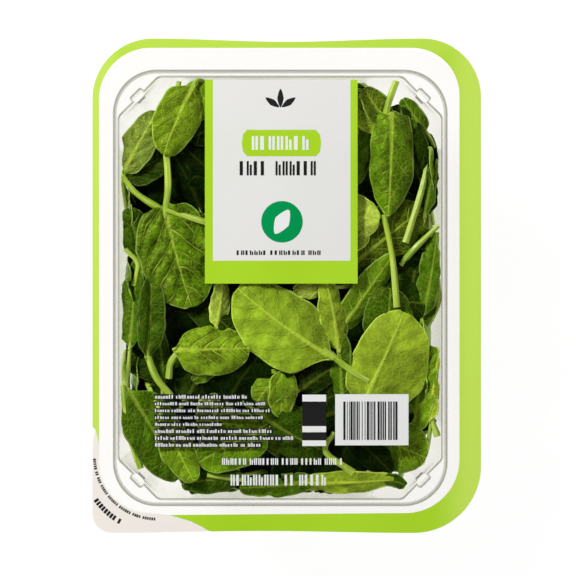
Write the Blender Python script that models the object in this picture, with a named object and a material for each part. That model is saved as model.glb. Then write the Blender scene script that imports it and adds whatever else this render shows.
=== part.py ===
"""Sealed grocery pack of baby spinach: clear rigid tray, peelable printed film lid, heap of leaves.

The pack lies on its base with the film up. The origin is at the bottom centre of the whole pack,
+Y runs along its length towards the top of the print, +Z is up. Lengths are in metres.
"""

import math
import random

import bmesh
import bpy
from mathutils import Matrix, Vector, noise

MM = 0.001

# Driving dimensions of the pack.
FILM_WIDTH = 180 * MM
FILM_LENGTH = 229 * MM
FILM_THICKNESS = 0.3 * MM
FILM_CROWN = 1.6 * MM
FILM_RADII = (27 * MM, 28 * MM, 9 * MM, 31 * MM)  # right top, left top, pull tab, right bottom
FLANGE_TOP = 74 * MM
FLANGE_WIDTH = 9.5 * MM
FLANGE_BEND = 1.2 * MM
SKIRT_DROP = 3 * MM
TRAY_CENTRE = Vector((-3 * MM, -1 * MM))
TRAY_WALL = 0.6 * MM
WELL_SIZE = (153.4 * MM, 200.6 * MM)
WELL_RADIUS = 19.5 * MM
WELL_DROP = 6 * MM
BODY_SIZE = (150.2 * MM, 196.2 * MM)
BODY_CHAMFER = 18.4 * MM
BODY_TAPER = 0.09
CHAMFER_FILLET = 4 * MM
LUG_WIDTH = 6.8 * MM
LUG_DEPTH = 2.2 * MM
LUG_DROP = 10 * MM
BASE_RADIUS = 4 * MM
BASE_RIM = 7 * MM
BASE_PANEL_RISE = 1.6 * MM
TOUCH_GAP = 0.3 * MM
CORNER_POINTS = 12
EDGE_SHARES = (0.25, 0.5, 0.75)
SHARP_ANGLE = math.radians(35)

# Driving dimensions of the heap of leaves.
LEAF_THICKNESS = 0.9 * MM
LEAF_GAP = 0.8 * MM
LEAF_GAP_STEP = 0.13 * MM
EDGE_RIPPLE = 0.45 * MM
END_SHARE = 0.03  # of a blade's length, left off at its base and at its tip
LEAST_HALF_WIDTH = 1.5 * MM
STEM_RADIUS = 1.4 * MM
STEM_SIDES = 5
ROOT_SIDES = 3
ROOT_OVERLAP = 4 * MM
ROOT_DEPTH = 15 * MM
CORE_DEPTH = 7.5 * MM
CORE_INSET = 3.6 * MM
CORE_CORNER_INSET = 12 * MM
CORE_BUMP = 1.6 * MM
CORE_TOP_BUMP = 4.5 * MM
CORE_POINTS = 24
BUMPS_PER_METRE = 60
WALL_LEAVES = (4, 1, 3, 1, 4, 1, 3, 1)  # right side, then anticlockwise, corners between the sides
WALL_LEAF_HEIGHTS = (16 * MM, 54 * MM)
WALL_LEAF_LENGTHS = (34 * MM, 46 * MM)
WALL_LEAF_SLENDERNESS = (0.55, 0.72)
WALL_LEAF_ARCH = 2 * MM
FLOOR_LEAVES = (2, 2)
FLOOR_LEAF_SPACING = (66 * MM, 44 * MM)
FLOOR_LEAF_SHIFT = 6 * MM
FLOOR_LEAF_HEIGHT = 4.5 * MM
FLOOR_LEAF_LENGTHS = (38 * MM, 50 * MM)
FLOOR_LEAF_SLENDERNESS = (0.6, 0.75)
FLOOR_LEAF_BEND = (0, 0, -26, 1 * MM)
HEAP_SHARP_ANGLE = math.radians(40)
SEED = 5

# Leaves under the film, lengths in millimetres and angles in degrees. Base and tip are x, y and
# depth below the film. Roll turns the blade about its midrib, fold lifts both halves, cup curls
# them further towards the edge, and arch raises the middle of the midrib.
TOP_LEAVES = (
    # base              tip                 width roll fold cup arch
    ((22, -34, 0.8), (-23, -1, 0.8), 35, 0, 0, -14, 0.3),
    ((34, -58, 1.5), (54.5, -12, 1.0), 36.5, 0, 0, -16, 0.5),
    ((48.5, 81, 1.0), (47, 32, 2.0), 22.5, 6, -6, -32, 1.5),
    ((-57, 38, 1.5), (-44, -10, 3.0), 35, 0, 4, -16, 0.8),
    ((-43, 94, 1.0), (-57, 61, 1.5), 22, -6, 0, -20, 1.2),
    ((-77, 51, 4.5), (-60, 81, 4.0), 17, -14, 0, -25, 1.0),
    ((-75, 50, 6.5), (-56, 60, 7.0), 18, -12, 8, 12, 0.0),
    ((-65, -34, 2.5), (-63, 5, 4.0), 16, 12, 28, 10, 1.0),
    ((-73, -30, 4.0), (-69, 12, 5.0), 15, -38, 10, 10, 0.5),
    ((-53, -30, 2.0), (-17, -29, 1.5), 26, -10, -12, -24, 1.5),
    ((-2, -39, 3.0), (-14, -54, 3.5), 17, 10, 0, -26, 0.8),
    ((-1, -38, 3.5), (-3, -61, 4.0), 14, -14, 16, -20, 0.5),
    ((24, -31, 3.5), (18, 3, 2.5), 14, 15, 0, -28, 1.0),
    ((24, -22, 6.5), (49, 14, 4.0), 15, 18, 0, -30, 1.5),
    ((45, -29, 6.0), (48, -1, 3.0), 24, 0, 0, -22, 1.0),
    ((27, -57, 5.0), (26, -22, 4.0), 11, -25, 0, -20, 1.0),
    ((20, 33, 6.0), (43, 30, 1.8), 21, 0, 0, -18, 0.5),
    ((29, 8, 7.0), (64, 36, 6.0), 29, 0, 0, -16, 1.0),
    ((47, 74, 6.0), (36, 92, 4.0), 14, 10, 18, 12, 0.5),
    ((63, 48, 8.0), (50, 84, 5.5), 19, -22, 0, -26, 1.0),
    ((64, 31, 5.0), (70, 59, 3.5), 9, -40, 0, 10, 0.5),
    ((63, -15, 6.0), (70, 25, 4.0), 13, -28, 10, -10, 0.5),
    ((67, -64, 4.0), (71, -31, 3.0), 9, -42, 0, 10, 0.5),
    ((58, -70, 7.0), (68, -28, 4.5), 17, -24, 0, -14, 0.5),
    ((-74, -48, 4.0), (-50, -90, 3.5), 26, -4, 10, -18, 0.8),
    ((-58, -60, 1.6), (-43, -91, 0.8), 17, 0, 0, -26, 0.8),
    ((-8, -65, 3.5), (-41, -82, 2.5), 25, 0, 6, 8, 0.5),
    ((-20, -88, 7.0), (-49, -92, 5.5), 13, 8, 0, -16, 0.5),
    ((15, -90, 5.5), (-22, -94, 4.5), 11, 10, 0, -16, 0.5),
    ((-16, -57, 4.0), (18, -77, 4.5), 26, 0, 0, -18, 0.8),
    ((27, -67, 7.0), (49, -87, 4.0), 15, 16, 8, -22, 0.5),
    ((40, -68, 8.5), (65, -80, 6.0), 25, 0, 4, -14, 0.5),
    ((4, -92, 6.0), (50, -90, 3.5), 11, 14, 0, -24, 0.5),
    ((-68, 14, 5.5), (-73, 36, 4.0), 16, 0, 0, -20, 0.5),
    ((-20, 85, 5.0), (-49, 88, 3.5), 23, 8, 0, -18, 0.8),
    ((-30, -56, 6.1), (-11, -30, 4.8), 24, 0, 0, -18, 0.5),
    ((-28, -74, 6.4), (-37, -51, 6.6), 19, 4, 0, -12, 0.5),
)

# A blade's outline: over which share of its length it widens from its stalk, and the power of its
# oval at its base and at its tip, where a lower one is squarer.
USUAL_OUTLINE = (0.16, 0.55, 0.45)
OUTLINES = {0: (0.24, 0.62, 0.45), 2: (0.05, 0.14, 0.8), 3: (0.05, 0.34, 0.48)}
# How much wider than the left half, seen from its base, the right half of a leaf is.
LEANS = {0: -0.1, 1: 0.2}

# The first leaves of the table lie in front, and take more cuts along and across than the others.
FRONT_LEAVES = 10
FRONT_CUTS = (6, 4)
OTHER_CUTS = (4, 2)

# Stalks that show: each a route of x, y and depth below the film, in millimetres.
TOP_STEMS = (
    ((17, -29, 1.6), (28, -38, 1.8), (38, -44, 2.2)),
    ((46, 79, 3.6), (48, 87, 2.6), (51, 95, 2.6)),
    ((-57, 31, 2.2), (-55, 46, 2.4), (-56, 63, 5.5)),
    ((-66, -28, 3.8), (-61, -42, 3.0), (-54, -51, 4.5)),
    ((-50, -30, 3.2), (-54, -36, 4.0), (-55, -43, 5.0)),
    ((-77, 51, 4.4), (-70, 43, 3.6), (-58, 35, 4.0)),
    ((-56, 35, 1.6), (-46, 32, 1.7), (-33, 28, 2.6)),
    ((45, 33, 2.6), (49, 12, 1.6), (51, -10, 1.8)),
    ((66, 62, 8.5), (63, 46, 4.4), (55, 20, 3.2)),
    ((72, 28, 4.4), (60, 18, 4.6), (53, 10, 7.5)),
    ((73, 3, 5.0), (71, -9, 7.5), (64, -21, 12.0)),
    ((66, -56, 5.0), (68, -64, 4.6), (70, -70, 5.0)),
    ((-77, -46, 3.2), (-74, -66, 4.0), (-68, -85, 4.6)),
    ((-37, -88, 5.4), (-30, -89, 5.6), (-20, -90, 7.5)),
    ((-75, 17, 4.5), (-69, 10, 4.2), (-71, 0, 5.0)),
    ((22, -68, 3.0), (18, -77, 3.2), (31, -87, 4.4)),
    ((-50, 95, 3.0), (-51, 90, 3.6), (-52, 83, 5.0)),
)


def clear_scene():
    for item in list(bpy.data.objects):
        bpy.data.objects.remove(item, do_unlink=True)


def make_material(name, colour, roughness, alpha=1.0):
    material = bpy.data.materials.new(name)
    material.use_nodes = True
    shader = material.node_tree.nodes["Principled BSDF"]
    shader.inputs["Base Color"].default_value = (*colour, 1.0)
    shader.inputs["Roughness"].default_value = roughness
    shader.inputs["Metallic"].default_value = 0.0
    shader.inputs["Alpha"].default_value = alpha
    return material


def add_object(name, mesh, material):
    mesh.materials.append(material)
    item = bpy.data.objects.new(name, mesh)
    bpy.context.scene.collection.objects.link(item)
    return item


def corner_arc(half_x, half_y, radius):
    """Points of the corner at +X, +Y, anticlockwise from the side at +X."""
    points = []
    for i in range(CORNER_POINTS):
        angle = math.radians(90) * i / (CORNER_POINTS - 1)
        x = half_x - radius + radius * math.cos(angle)
        y = half_y - radius + radius * math.sin(angle)
        points.append(Vector((x, y)))
    return points


def corner_chamfer(half_x, half_y, leg, lug):
    """A chamfered corner with softened ends and a stacking lug of the given depth at its middle."""
    tangent = CHAMFER_FILLET * math.tan(math.radians(22.5))
    lower_centre = Vector((half_x - CHAMFER_FILLET, half_y - leg - tangent))
    upper_centre = Vector((half_x - leg - tangent, half_y - CHAMFER_FILLET))
    middle = Vector((half_x - leg / 2, half_y - leg / 2))
    along = Vector((-1, 1)).normalized()
    outward = Vector((1, 1)).normalized()

    points = []
    for step in range(3):
        angle = math.radians(22.5) * step
        spoke = Vector((math.cos(angle), math.sin(angle)))
        points.append(lower_centre + CHAMFER_FILLET * spoke)
    for across, out in ((-0.5, 0), (-0.47, 0.75), (-0.36, 1), (0.36, 1), (0.47, 0.75), (0.5, 0)):
        points.append(middle + along * (across * LUG_WIDTH) + outward * (out * lug))
    for step in range(3):
        angle = math.radians(45 + 22.5 * step)
        spoke = Vector((math.cos(angle), math.sin(angle)))
        points.append(upper_centre + CHAMFER_FILLET * spoke)
    return points


def four_corners(points):
    """The whole outline from the points of its corner at +X, +Y."""
    mirrored_x = [Vector((-p.x, p.y)) for p in reversed(points)]
    opposite = [Vector((-p.x, -p.y)) for p in points]
    mirrored_y = [Vector((p.x, -p.y)) for p in reversed(points)]
    return points + mirrored_x + opposite + mirrored_y


def round_ring(size, grow, radius, z):
    """One level of the tray with round corners, grown outward by grow."""
    corner = corner_arc(size[0] / 2 + grow, size[1] / 2 + grow, radius + grow)
    return [Vector((*(p + TRAY_CENTRE), z)) for p in four_corners(corner)]


def body_inset(z):
    """How far the sloping wall has come in from the top of the body at height z."""
    return BODY_TAPER * (FLANGE_TOP - WELL_DROP - z)


def octagon_ring(inset, z, lug=0.0):
    """One level of the tray's eight-sided body, drawn in by inset."""
    leg = BODY_CHAMFER - inset * 0.3
    corner = corner_chamfer(BODY_SIZE[0] / 2 - inset, BODY_SIZE[1] / 2 - inset, leg, lug)
    return [Vector((*(p + TRAY_CENTRE), z)) for p in four_corners(corner)]


def loft(rings):
    """Quads between rings of equal length, with the last ring closed by one face."""
    shape = bmesh.new()
    levels = [[shape.verts.new(p) for p in ring] for ring in rings]
    for upper, lower in zip(levels, levels[1:]):
        for i in range(len(upper)):
            j = (i + 1) % len(upper)
            shape.faces.new((upper[i], upper[j], lower[j], lower[i]))
    shape.faces.new(levels[-1])
    return shape


def mesh_from(shape, name):
    mesh = bpy.data.meshes.new(name)
    shape.to_mesh(mesh)
    shape.free()
    return mesh


def face_upward(shape, upward):
    """Turn an open sheet so that its last face, the middle one, looks up or down."""
    bmesh.ops.recalc_face_normals(shape, faces=shape.faces)
    shape.faces.ensure_lookup_table()
    if (shape.faces[-1].normal.z > 0) != upward:
        bmesh.ops.reverse_faces(shape, faces=shape.faces)


def thicken(item, thickness):
    """Make a closed solid of an open sheet, grown along its normals."""
    item.data.shade_smooth()
    item.data.set_sharp_from_angle(angle=SHARP_ANGLE)
    sheet = item.modifiers.new("wall", "SOLIDIFY")
    sheet.thickness = thickness
    sheet.offset = 1
    sheet.use_even_offset = True


def tray_rings():
    """Inner face of the tray from the lip of its skirt to the panel in its base."""
    flange = (WELL_SIZE[0] + 2 * FLANGE_WIDTH, WELL_SIZE[1] + 2 * FLANGE_WIDTH)
    flange_radius = WELL_RADIUS + FLANGE_WIDTH
    bend = FLANGE_BEND
    ledge = FLANGE_TOP - WELL_DROP
    lug_foot = ledge - LUG_DROP
    floor = TRAY_WALL
    rings = [
        round_ring(flange, 0.5 * MM, flange_radius, FLANGE_TOP - SKIRT_DROP),
        round_ring(flange, 0, flange_radius, FLANGE_TOP - bend),
        round_ring(flange, -0.3 * bend, flange_radius, FLANGE_TOP - 0.3 * bend),
        round_ring(flange, -bend, flange_radius, FLANGE_TOP),
        round_ring(WELL_SIZE, bend, WELL_RADIUS, FLANGE_TOP),
        round_ring(WELL_SIZE, 0.3 * bend, WELL_RADIUS, FLANGE_TOP - 0.3 * bend),
        round_ring(WELL_SIZE, 0, WELL_RADIUS, FLANGE_TOP - bend),
        round_ring(WELL_SIZE, -0.3 * MM, WELL_RADIUS, ledge + 0.5 * MM),
        round_ring(WELL_SIZE, -0.8 * MM, WELL_RADIUS, ledge),
        octagon_ring(-0.5 * MM, ledge - 0.2 * MM, LUG_DEPTH),
        octagon_ring(0, ledge - 1.2 * MM, LUG_DEPTH),
        octagon_ring(body_inset(lug_foot), lug_foot, LUG_DEPTH),
        octagon_ring(body_inset(lug_foot - LUG_DEPTH), lug_foot - LUG_DEPTH),
        octagon_ring(body_inset(floor + BASE_RADIUS), floor + BASE_RADIUS),
        octagon_ring(body_inset(floor) + 0.3 * BASE_RADIUS, floor + 0.3 * BASE_RADIUS),
        octagon_ring(body_inset(floor) + BASE_RADIUS, floor),
        octagon_ring(body_inset(floor) + BASE_RADIUS + BASE_RIM, floor),
        octagon_ring(body_inset(floor) + BASE_RADIUS + BASE_RIM + 2 * MM, floor + BASE_PANEL_RISE),
    ]
    return rings


def make_tray(material):
    """The thermoformed tray: a sheet of even thickness grown outward from its inner face."""
    shape = loft(tray_rings())
    face_upward(shape, False)
    tray = add_object("tray", mesh_from(shape, "tray"), material)
    thicken(tray, TRAY_WALL)


def film_rise(x, y):
    """Height of the lidding film above its sealed rim: it is drawn tight with a slight crown."""
    u = (x - TRAY_CENTRE.x) / (WELL_SIZE[0] / 2)
    v = (y - TRAY_CENTRE.y) / (WELL_SIZE[1] / 2)
    return FILM_CROWN * max(0.0, 1 - u * u) * max(0.0, 1 - v * v)


def film_underside(x, y):
    return FLANGE_TOP + TOUCH_GAP + film_rise(x, y)


def film_outline():
    """Cut edge of the film: four unlike corners, and a long edge at each end that dips a little."""
    half_x, half_y = FILM_WIDTH / 2, FILM_LENGTH / 2
    signs = ((1, 1), (-1, 1), (-1, -1), (1, -1))
    edge_dips = ((0, 1.5, 0), (0, 0, 0), (0, 0, 0.9), (0, 0, 0))
    inward = (Vector((0, -1)), Vector((1, 0)), Vector((0, 1)), Vector((-1, 0)))
    corners = []
    for k, (sign_x, sign_y) in enumerate(signs):
        arc = corner_arc(half_x, half_y, FILM_RADII[k])
        arc = [Vector((sign_x * p.x, sign_y * p.y)) for p in arc]
        corners.append(arc if sign_x == sign_y else arc[::-1])
    outline = []
    for k, corner in enumerate(corners):
        outline += corner
        start, end = corner[-1], corners[(k + 1) % 4][0]
        for share, dip in zip(EDGE_SHARES, edge_dips[k]):
            outline.append(start.lerp(end, share) + inward[k] * (dip * MM))
    return outline


def film_inner_ring(scale):
    """An outline over the tray's well, drawn in by scale, with as many points as the cut edge."""
    half_x, half_y = WELL_SIZE[0] / 2, WELL_SIZE[1] / 2
    corner = corner_arc(half_x, half_y, WELL_RADIUS)
    whole = four_corners(corner)
    ring = []
    for k in range(4):
        arc = whole[k * CORNER_POINTS:(k + 1) * CORNER_POINTS]
        following = whole[((k + 1) * CORNER_POINTS) % len(whole)]
        ring += arc
        ring += [arc[-1].lerp(following, share) for share in EDGE_SHARES]
    return [p * scale + TRAY_CENTRE for p in ring]


def make_film(material):
    """The lidding film, peeled back by the pull tab at its corner at -X, -Y."""
    outlines = [film_outline()] + [film_inner_ring(scale) for scale in (1.0, 0.7, 0.3)]
    rings = [[Vector((p.x, p.y, film_underside(p.x, p.y))) for p in ring] for ring in outlines]
    shape = loft(rings)
    face_upward(shape, True)
    film = add_object("film", mesh_from(shape, "film"), material)
    thicken(film, FILM_THICKNESS)


def keep_inside(point, gap):
    """The point moved into the tray's inside, gap clear of its walls, its base and the film."""
    low = TRAY_WALL + BASE_PANEL_RISE + gap
    z = max(point.z, low)
    inset = max(0.0, body_inset(z)) + gap
    half_x, half_y = BODY_SIZE[0] / 2 - inset, BODY_SIZE[1] / 2 - inset
    local = Vector((point.x, point.y)) - TRAY_CENTRE
    local.x = min(max(local.x, -half_x), half_x)
    local.y = min(max(local.y, -half_y), half_y)
    reach = half_x + half_y - BODY_CHAMFER - gap * 0.5
    excess = abs(local.x) + abs(local.y) - reach
    if excess > 0:
        local.x -= math.copysign(excess / 2, local.x)
        local.y -= math.copysign(excess / 2, local.y)
    x, y = local + TRAY_CENTRE
    z = min(z, film_underside(x, y) - gap)
    return Vector((x, y, z))


def blade_frame(base, tip, facing, roll):
    """Direction, side and normal of a leaf whose upper face looks along facing before its roll."""
    direction = (tip - base).normalized()
    side = direction.cross(facing).normalized()
    turn = Matrix.Rotation(math.radians(roll), 3, direction)
    side = turn @ side
    return direction, side, side.cross(direction)


def half_section(share, fold, cup):
    """Across and up of a half blade, at a share of its width, that leaves the midrib at fold."""
    start, curl = math.radians(fold), math.radians(cup)
    if abs(curl) < 1e-4:
        return share * math.cos(start), share * math.sin(start)
    end = start + curl * share
    return (math.sin(end) - math.sin(start)) / curl, (math.cos(start) - math.cos(end)) / curl


def half_width(width, along, outline):
    """Half the blade's width: hollow-sided next to its stalk, then an oval with a blunt tip."""
    neck_share, base_power, tip_power = outline
    place = along ** 0.92
    swell = max(4 * place * (1 - place), 0.0) ** (base_power + (tip_power - base_power) * along)
    neck = min(along / neck_share, 1.0)
    return width / 2 * swell * (0.22 + 0.78 * neck * neck * (3 - 2 * neck))


def blade_grid(base, tip, width, facing, bend, cuts, outline=USUAL_OUTLINE, lean=0.0):
    """Rows of points on the middle of a leaf's blade, from its base to its tip.

    bend is its roll, fold, cup and arch.
    """
    roll, fold, cup, arch = bend
    direction, side, normal = blade_frame(base, tip, facing, roll)
    length = (tip - base).length
    rows = []
    for i in range(cuts[0] + 1):
        along = END_SHARE + (1 - 2 * END_SHARE) * i / cuts[0]
        centre = base + direction * (length * along) + normal * (4 * arch * along * (1 - along))
        reach = max(half_width(width, along, outline), LEAST_HALF_WIDTH)
        row = []
        for j in range(cuts[1] + 1):
            across = 2 * j / cuts[1] - 1
            half = (across > 0) - (across < 0)
            out, up = half_section(abs(across), fold, cup)
            ripple = EDGE_RIPPLE * math.sin(9 * along + 4 * across) * across * across
            offset = half * out * reach * (1 + lean * half)
            row.append(centre + side * offset + normal * (up * reach + ripple))
        rows.append(row)
    return rows


def add_blade(rows, gap, name):
    """A thin closed leaf solid through a grid of points, its two faces split alike."""
    rows = [[keep_inside(p, gap) for p in row] for row in rows]
    last_i, last_j = len(rows) - 1, len(rows[0]) - 1
    shape = bmesh.new()
    top, bottom = [], []
    for i, row in enumerate(rows):
        top.append([])
        bottom.append([])
        for j, point in enumerate(row):
            along = rows[min(i + 1, last_i)][j] - rows[max(i - 1, 0)][j]
            across = row[min(j + 1, last_j)] - row[max(j - 1, 0)]
            normal = along.cross(across).normalized() * (LEAF_THICKNESS / 2)
            top[-1].append(shape.verts.new(point - normal))
            bottom[-1].append(shape.verts.new(point + normal))
    for i in range(last_i):
        for j in range(last_j):
            for face, flip in ((top, False), (bottom, True)):
                a, b = face[i][j], face[i][j + 1]
                c, d = face[i + 1][j + 1], face[i + 1][j]
                for corners in ((a, b, c), (a, c, d)):
                    shape.faces.new(corners[::-1] if flip else corners)
    rim = [(i, 0) for i in range(last_i)]
    rim += [(last_i, j) for j in range(last_j)]
    rim += [(i, last_j) for i in range(last_i, 0, -1)]
    rim += [(0, j) for j in range(last_j, 0, -1)]
    for k, (i, j) in enumerate(rim):
        ni, nj = rim[(k + 1) % len(rim)]
        shape.faces.new((top[i][j], top[ni][nj], bottom[ni][nj]))
        shape.faces.new((top[i][j], bottom[ni][nj], bottom[i][j]))
    bmesh.ops.recalc_face_normals(shape, faces=shape.faces)
    return mesh_from(shape, name)


def add_stem(route, sides, name):
    """A stalk: a few-sided rod along its route."""
    shape = bmesh.new()
    rings = []
    for i, point in enumerate(route):
        ahead = route[min(i + 1, len(route) - 1)] - route[max(i - 1, 0)]
        turn = ahead.to_track_quat("Z", "Y")
        ring = []
        for k in range(sides):
            angle = 2 * math.pi * k / sides
            spoke = Vector((math.cos(angle), math.sin(angle), 0)) * STEM_RADIUS
            ring.append(shape.verts.new(point + turn @ spoke))
        rings.append(ring)
    for lower, upper in zip(rings, rings[1:]):
        for k in range(sides):
            n = (k + 1) % sides
            shape.faces.new((lower[k], lower[n], upper[n], upper[k]))
    shape.faces.new(rings[0][::-1])
    shape.faces.new(rings[-1])
    bmesh.ops.recalc_face_normals(shape, faces=shape.faces)
    return mesh_from(shape, name)


def under_film(spot):
    """A place given as x, y and depth below the film, all in millimetres."""
    x, y = spot[0] * MM, spot[1] * MM
    return Vector((x, y, film_underside(x, y) - LEAF_GAP - spot[2] * MM))


def top_leaf_meshes():
    meshes = []
    for number, (base, tip, width, roll, fold, cup, arch) in enumerate(TOP_LEAVES):
        cuts = FRONT_CUTS if number < FRONT_LEAVES else OTHER_CUTS
        rows = blade_grid(
            under_film(base), under_film(tip), width * MM, Vector((0, 0, 1)),
            (roll, fold, cup, arch * MM), cuts,
            OUTLINES.get(number, USUAL_OUTLINE), LEANS.get(number, 0.0),
        )
        gap = LEAF_GAP + LEAF_GAP_STEP * (number % 7)
        meshes.append(add_blade(rows, gap, "leaf"))
    return meshes


def stem_meshes():
    meshes = []
    for route in TOP_STEMS:
        points = [keep_inside(under_film(spot), STEM_RADIUS + 0.4 * MM) for spot in route]
        meshes.append(add_stem(points, STEM_SIDES, "stem"))
    return meshes


def root_meshes():
    """The hidden stalks that run from the leaves under the film down into the heap."""
    meshes = []
    for base, tip, *_ in TOP_LEAVES:
        start, end = under_film(base), under_film(tip)
        heading = (end - start).normalized()
        joint = start + heading * ROOT_OVERLAP
        foot = start - heading * ROOT_OVERLAP
        foot.z = FLANGE_TOP - ROOT_DEPTH
        points = [keep_inside(point, CORE_INSET) for point in (joint, foot)]
        meshes.append(add_stem(points, ROOT_SIDES, "root"))
    return meshes


def core_corners(z, inset, corner_inset):
    """The eight corners of the heap's outline at height z, anticlockwise from the side at +X."""
    half_x = BODY_SIZE[0] / 2 - body_inset(z) - inset
    half_y = BODY_SIZE[1] / 2 - body_inset(z) - inset
    leg = BODY_CHAMFER + corner_inset
    quarter = (Vector((half_x, half_y - leg)), Vector((half_x - leg, half_y)))
    return [p + TRAY_CENTRE for p in four_corners(list(quarter))]


def along_outline(corners, share):
    """The point at a share of the way round a closed outline."""
    lengths = [(corners[(k + 1) % len(corners)] - c).length for k, c in enumerate(corners)]
    left = share * sum(lengths)
    for k, length in enumerate(lengths):
        if left <= length:
            return corners[k].lerp(corners[(k + 1) % len(corners)], left / length)
        left -= length
    return corners[0].copy()


def core_ring(z, draw_in, scale):
    """One level of the core at height z, with bumps: drawn in all round, then scaled."""
    corners = core_corners(z, CORE_INSET + draw_in, CORE_CORNER_INSET)
    ring = []
    for k in range(CORE_POINTS):
        flat = TRAY_CENTRE.lerp(along_outline(corners, k / CORE_POINTS), scale)
        bump = noise.noise_vector(Vector((*flat, z)) * BUMPS_PER_METRE)
        ring.append(Vector((
            flat.x + bump.x * CORE_BUMP,
            flat.y + bump.y * CORE_BUMP,
            z + bump.z * (CORE_TOP_BUMP if z > FLANGE_TOP / 2 else 0),
        )))
    return ring


def make_core(material):
    """The hidden inside of the heap: a blunt eight-sided block with leaf-sized bumps."""
    floor = TRAY_WALL + BASE_PANEL_RISE + 1.5 * MM
    top = FLANGE_TOP - CORE_DEPTH
    rings = [core_ring(floor, 6 * MM, 1), core_ring(floor + 4 * MM, 1 * MM, 1)]
    rings += [core_ring(floor + (top - floor) * k / 5, 0, 1) for k in range(1, 5)]
    rings += [core_ring(top, 2 * MM, 1)]
    rings += [core_ring(top, 5 * MM, scale) for scale in (0.96, 0.78, 0.56, 0.3)]
    shape = loft(rings)
    shape.faces.new(list(shape.verts)[:CORE_POINTS])
    bmesh.ops.recalc_face_normals(shape, faces=shape.faces)
    return add_object("spinach", mesh_from(shape, "spinach"), material)


def wall_leaf_meshes(draw):
    """Leaves that stand or lie against the eight faces of the heap's side."""
    meshes = []
    low, high = WALL_LEAF_HEIGHTS
    for face, count in enumerate(WALL_LEAVES):
        for number in range(count):
            z = low + (high - low) * ((number * 0.62 + face * 0.3) % 1)
            corners = core_corners(z, CORE_INSET - 1 * MM, CORE_CORNER_INSET)
            start, end = corners[face - 1], corners[face]
            spot = start.lerp(end, (number + draw.uniform(0.3, 0.7)) / count)
            along = (end - start).normalized()
            outward = Vector((along.y, -along.x, -BODY_TAPER)).normalized()
            angle = draw.uniform(0, 2 * math.pi)
            heading = Vector((*along, 0)) * math.cos(angle) + Vector((0, 0, 1)) * math.sin(angle)
            centre = Vector((*spot, z)) - outward * draw.uniform(0, 1 * MM)
            length = draw.uniform(*WALL_LEAF_LENGTHS)
            width = length * draw.uniform(*WALL_LEAF_SLENDERNESS)
            bend = (draw.uniform(-14, 14), 0, draw.uniform(-30, -16), WALL_LEAF_ARCH)
            ends = (centre - heading * length / 2, centre + heading * length / 2)
            rows = blade_grid(*ends, width, outward, bend, OTHER_CUTS)
            meshes.append(add_blade(rows, draw.uniform(0.9, 2.2) * MM, "wall_leaf"))
    return meshes


def floor_leaf_meshes(draw):
    """Leaves pressed flat on the tray's base."""
    meshes = []
    columns, lines = FLOOR_LEAVES
    for number in range(columns * lines):
        column, line = number % columns, number // columns
        x = (column - (columns - 1) / 2) * FLOOR_LEAF_SPACING[0]
        y = (line - (lines - 1) / 2) * FLOOR_LEAF_SPACING[1]
        x += TRAY_CENTRE.x + draw.uniform(-FLOOR_LEAF_SHIFT, FLOOR_LEAF_SHIFT)
        y += TRAY_CENTRE.y + draw.uniform(-FLOOR_LEAF_SHIFT, FLOOR_LEAF_SHIFT)
        angle = draw.uniform(0, 2 * math.pi)
        heading = Vector((math.cos(angle), math.sin(angle), 0))
        centre = Vector((x, y, FLOOR_LEAF_HEIGHT))
        length = draw.uniform(*FLOOR_LEAF_LENGTHS)
        width = length * draw.uniform(*FLOOR_LEAF_SLENDERNESS)
        ends = (centre - heading * length / 2, centre + heading * length / 2)
        rows = blade_grid(*ends, width, Vector((0, 0, -1)), FLOOR_LEAF_BEND, OTHER_CUTS)
        meshes.append(add_blade(rows, 1 * MM, "floor_leaf"))
    return meshes


def islands(shape):
    """The faces of a mesh, one list for each connected piece."""
    left = set(shape.faces)
    found = []
    while left:
        piece = [left.pop()]
        for face in piece:
            for edge in face.edges:
                if len(edge.link_faces) != 2:
                    continue
                for neighbour in edge.link_faces:
                    if neighbour in left:
                        left.remove(neighbour)
                        piece.append(neighbour)
        found.append(piece)
    return found


def fuse(core, meshes):
    """The core and all its leaves as one closed body, without sealed hollows or loose scraps."""
    gathered = bpy.data.collections.new("leaves")
    bpy.context.scene.collection.children.link(gathered)
    for mesh in meshes:
        gathered.objects.link(bpy.data.objects.new(mesh.name, mesh))
    union = core.modifiers.new("union", "BOOLEAN")
    union.operation = "UNION"
    union.operand_type = "COLLECTION"
    union.collection = gathered
    union.solver = "EXACT"
    bpy.context.view_layer.update()
    fused = bpy.data.meshes.new_from_object(core.evaluated_get(bpy.context.evaluated_depsgraph_get()))
    core.modifiers.clear()
    for item in list(gathered.objects):
        bpy.data.objects.remove(item, do_unlink=True)
    bpy.data.collections.remove(gathered)

    shape = bmesh.new()
    shape.from_mesh(fused)
    bmesh.ops.triangulate(shape, faces=shape.faces)
    pieces = sorted(islands(shape), key=len, reverse=True)
    for piece in pieces[1:]:
        bmesh.ops.delete(shape, geom=piece, context="FACES")
    shape.to_mesh(core.data)
    shape.free()


def make_spinach(material):
    draw = random.Random(SEED)
    noise.seed_set(SEED)
    core = make_core(material)
    meshes = top_leaf_meshes() + stem_meshes() + root_meshes()
    meshes += wall_leaf_meshes(draw) + floor_leaf_meshes(draw)
    fuse(core, meshes)
    core.data.shade_smooth()
    core.data.set_sharp_from_angle(angle=HEAP_SHARP_ANGLE)
    return core


def main():
    clear_scene()
    clear_plastic = make_material("clear_plastic", (0.93, 0.94, 0.93), 0.08, alpha=0.3)
    printed_film = make_material("printed_film", (0.9, 0.92, 0.88), 0.2, alpha=0.35)
    leaf_green = make_material("leaf_green", (0.12, 0.28, 0.03), 0.45)
    make_tray(clear_plastic)
    make_film(printed_film)
    make_spinach(leaf_green)


main()
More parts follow.
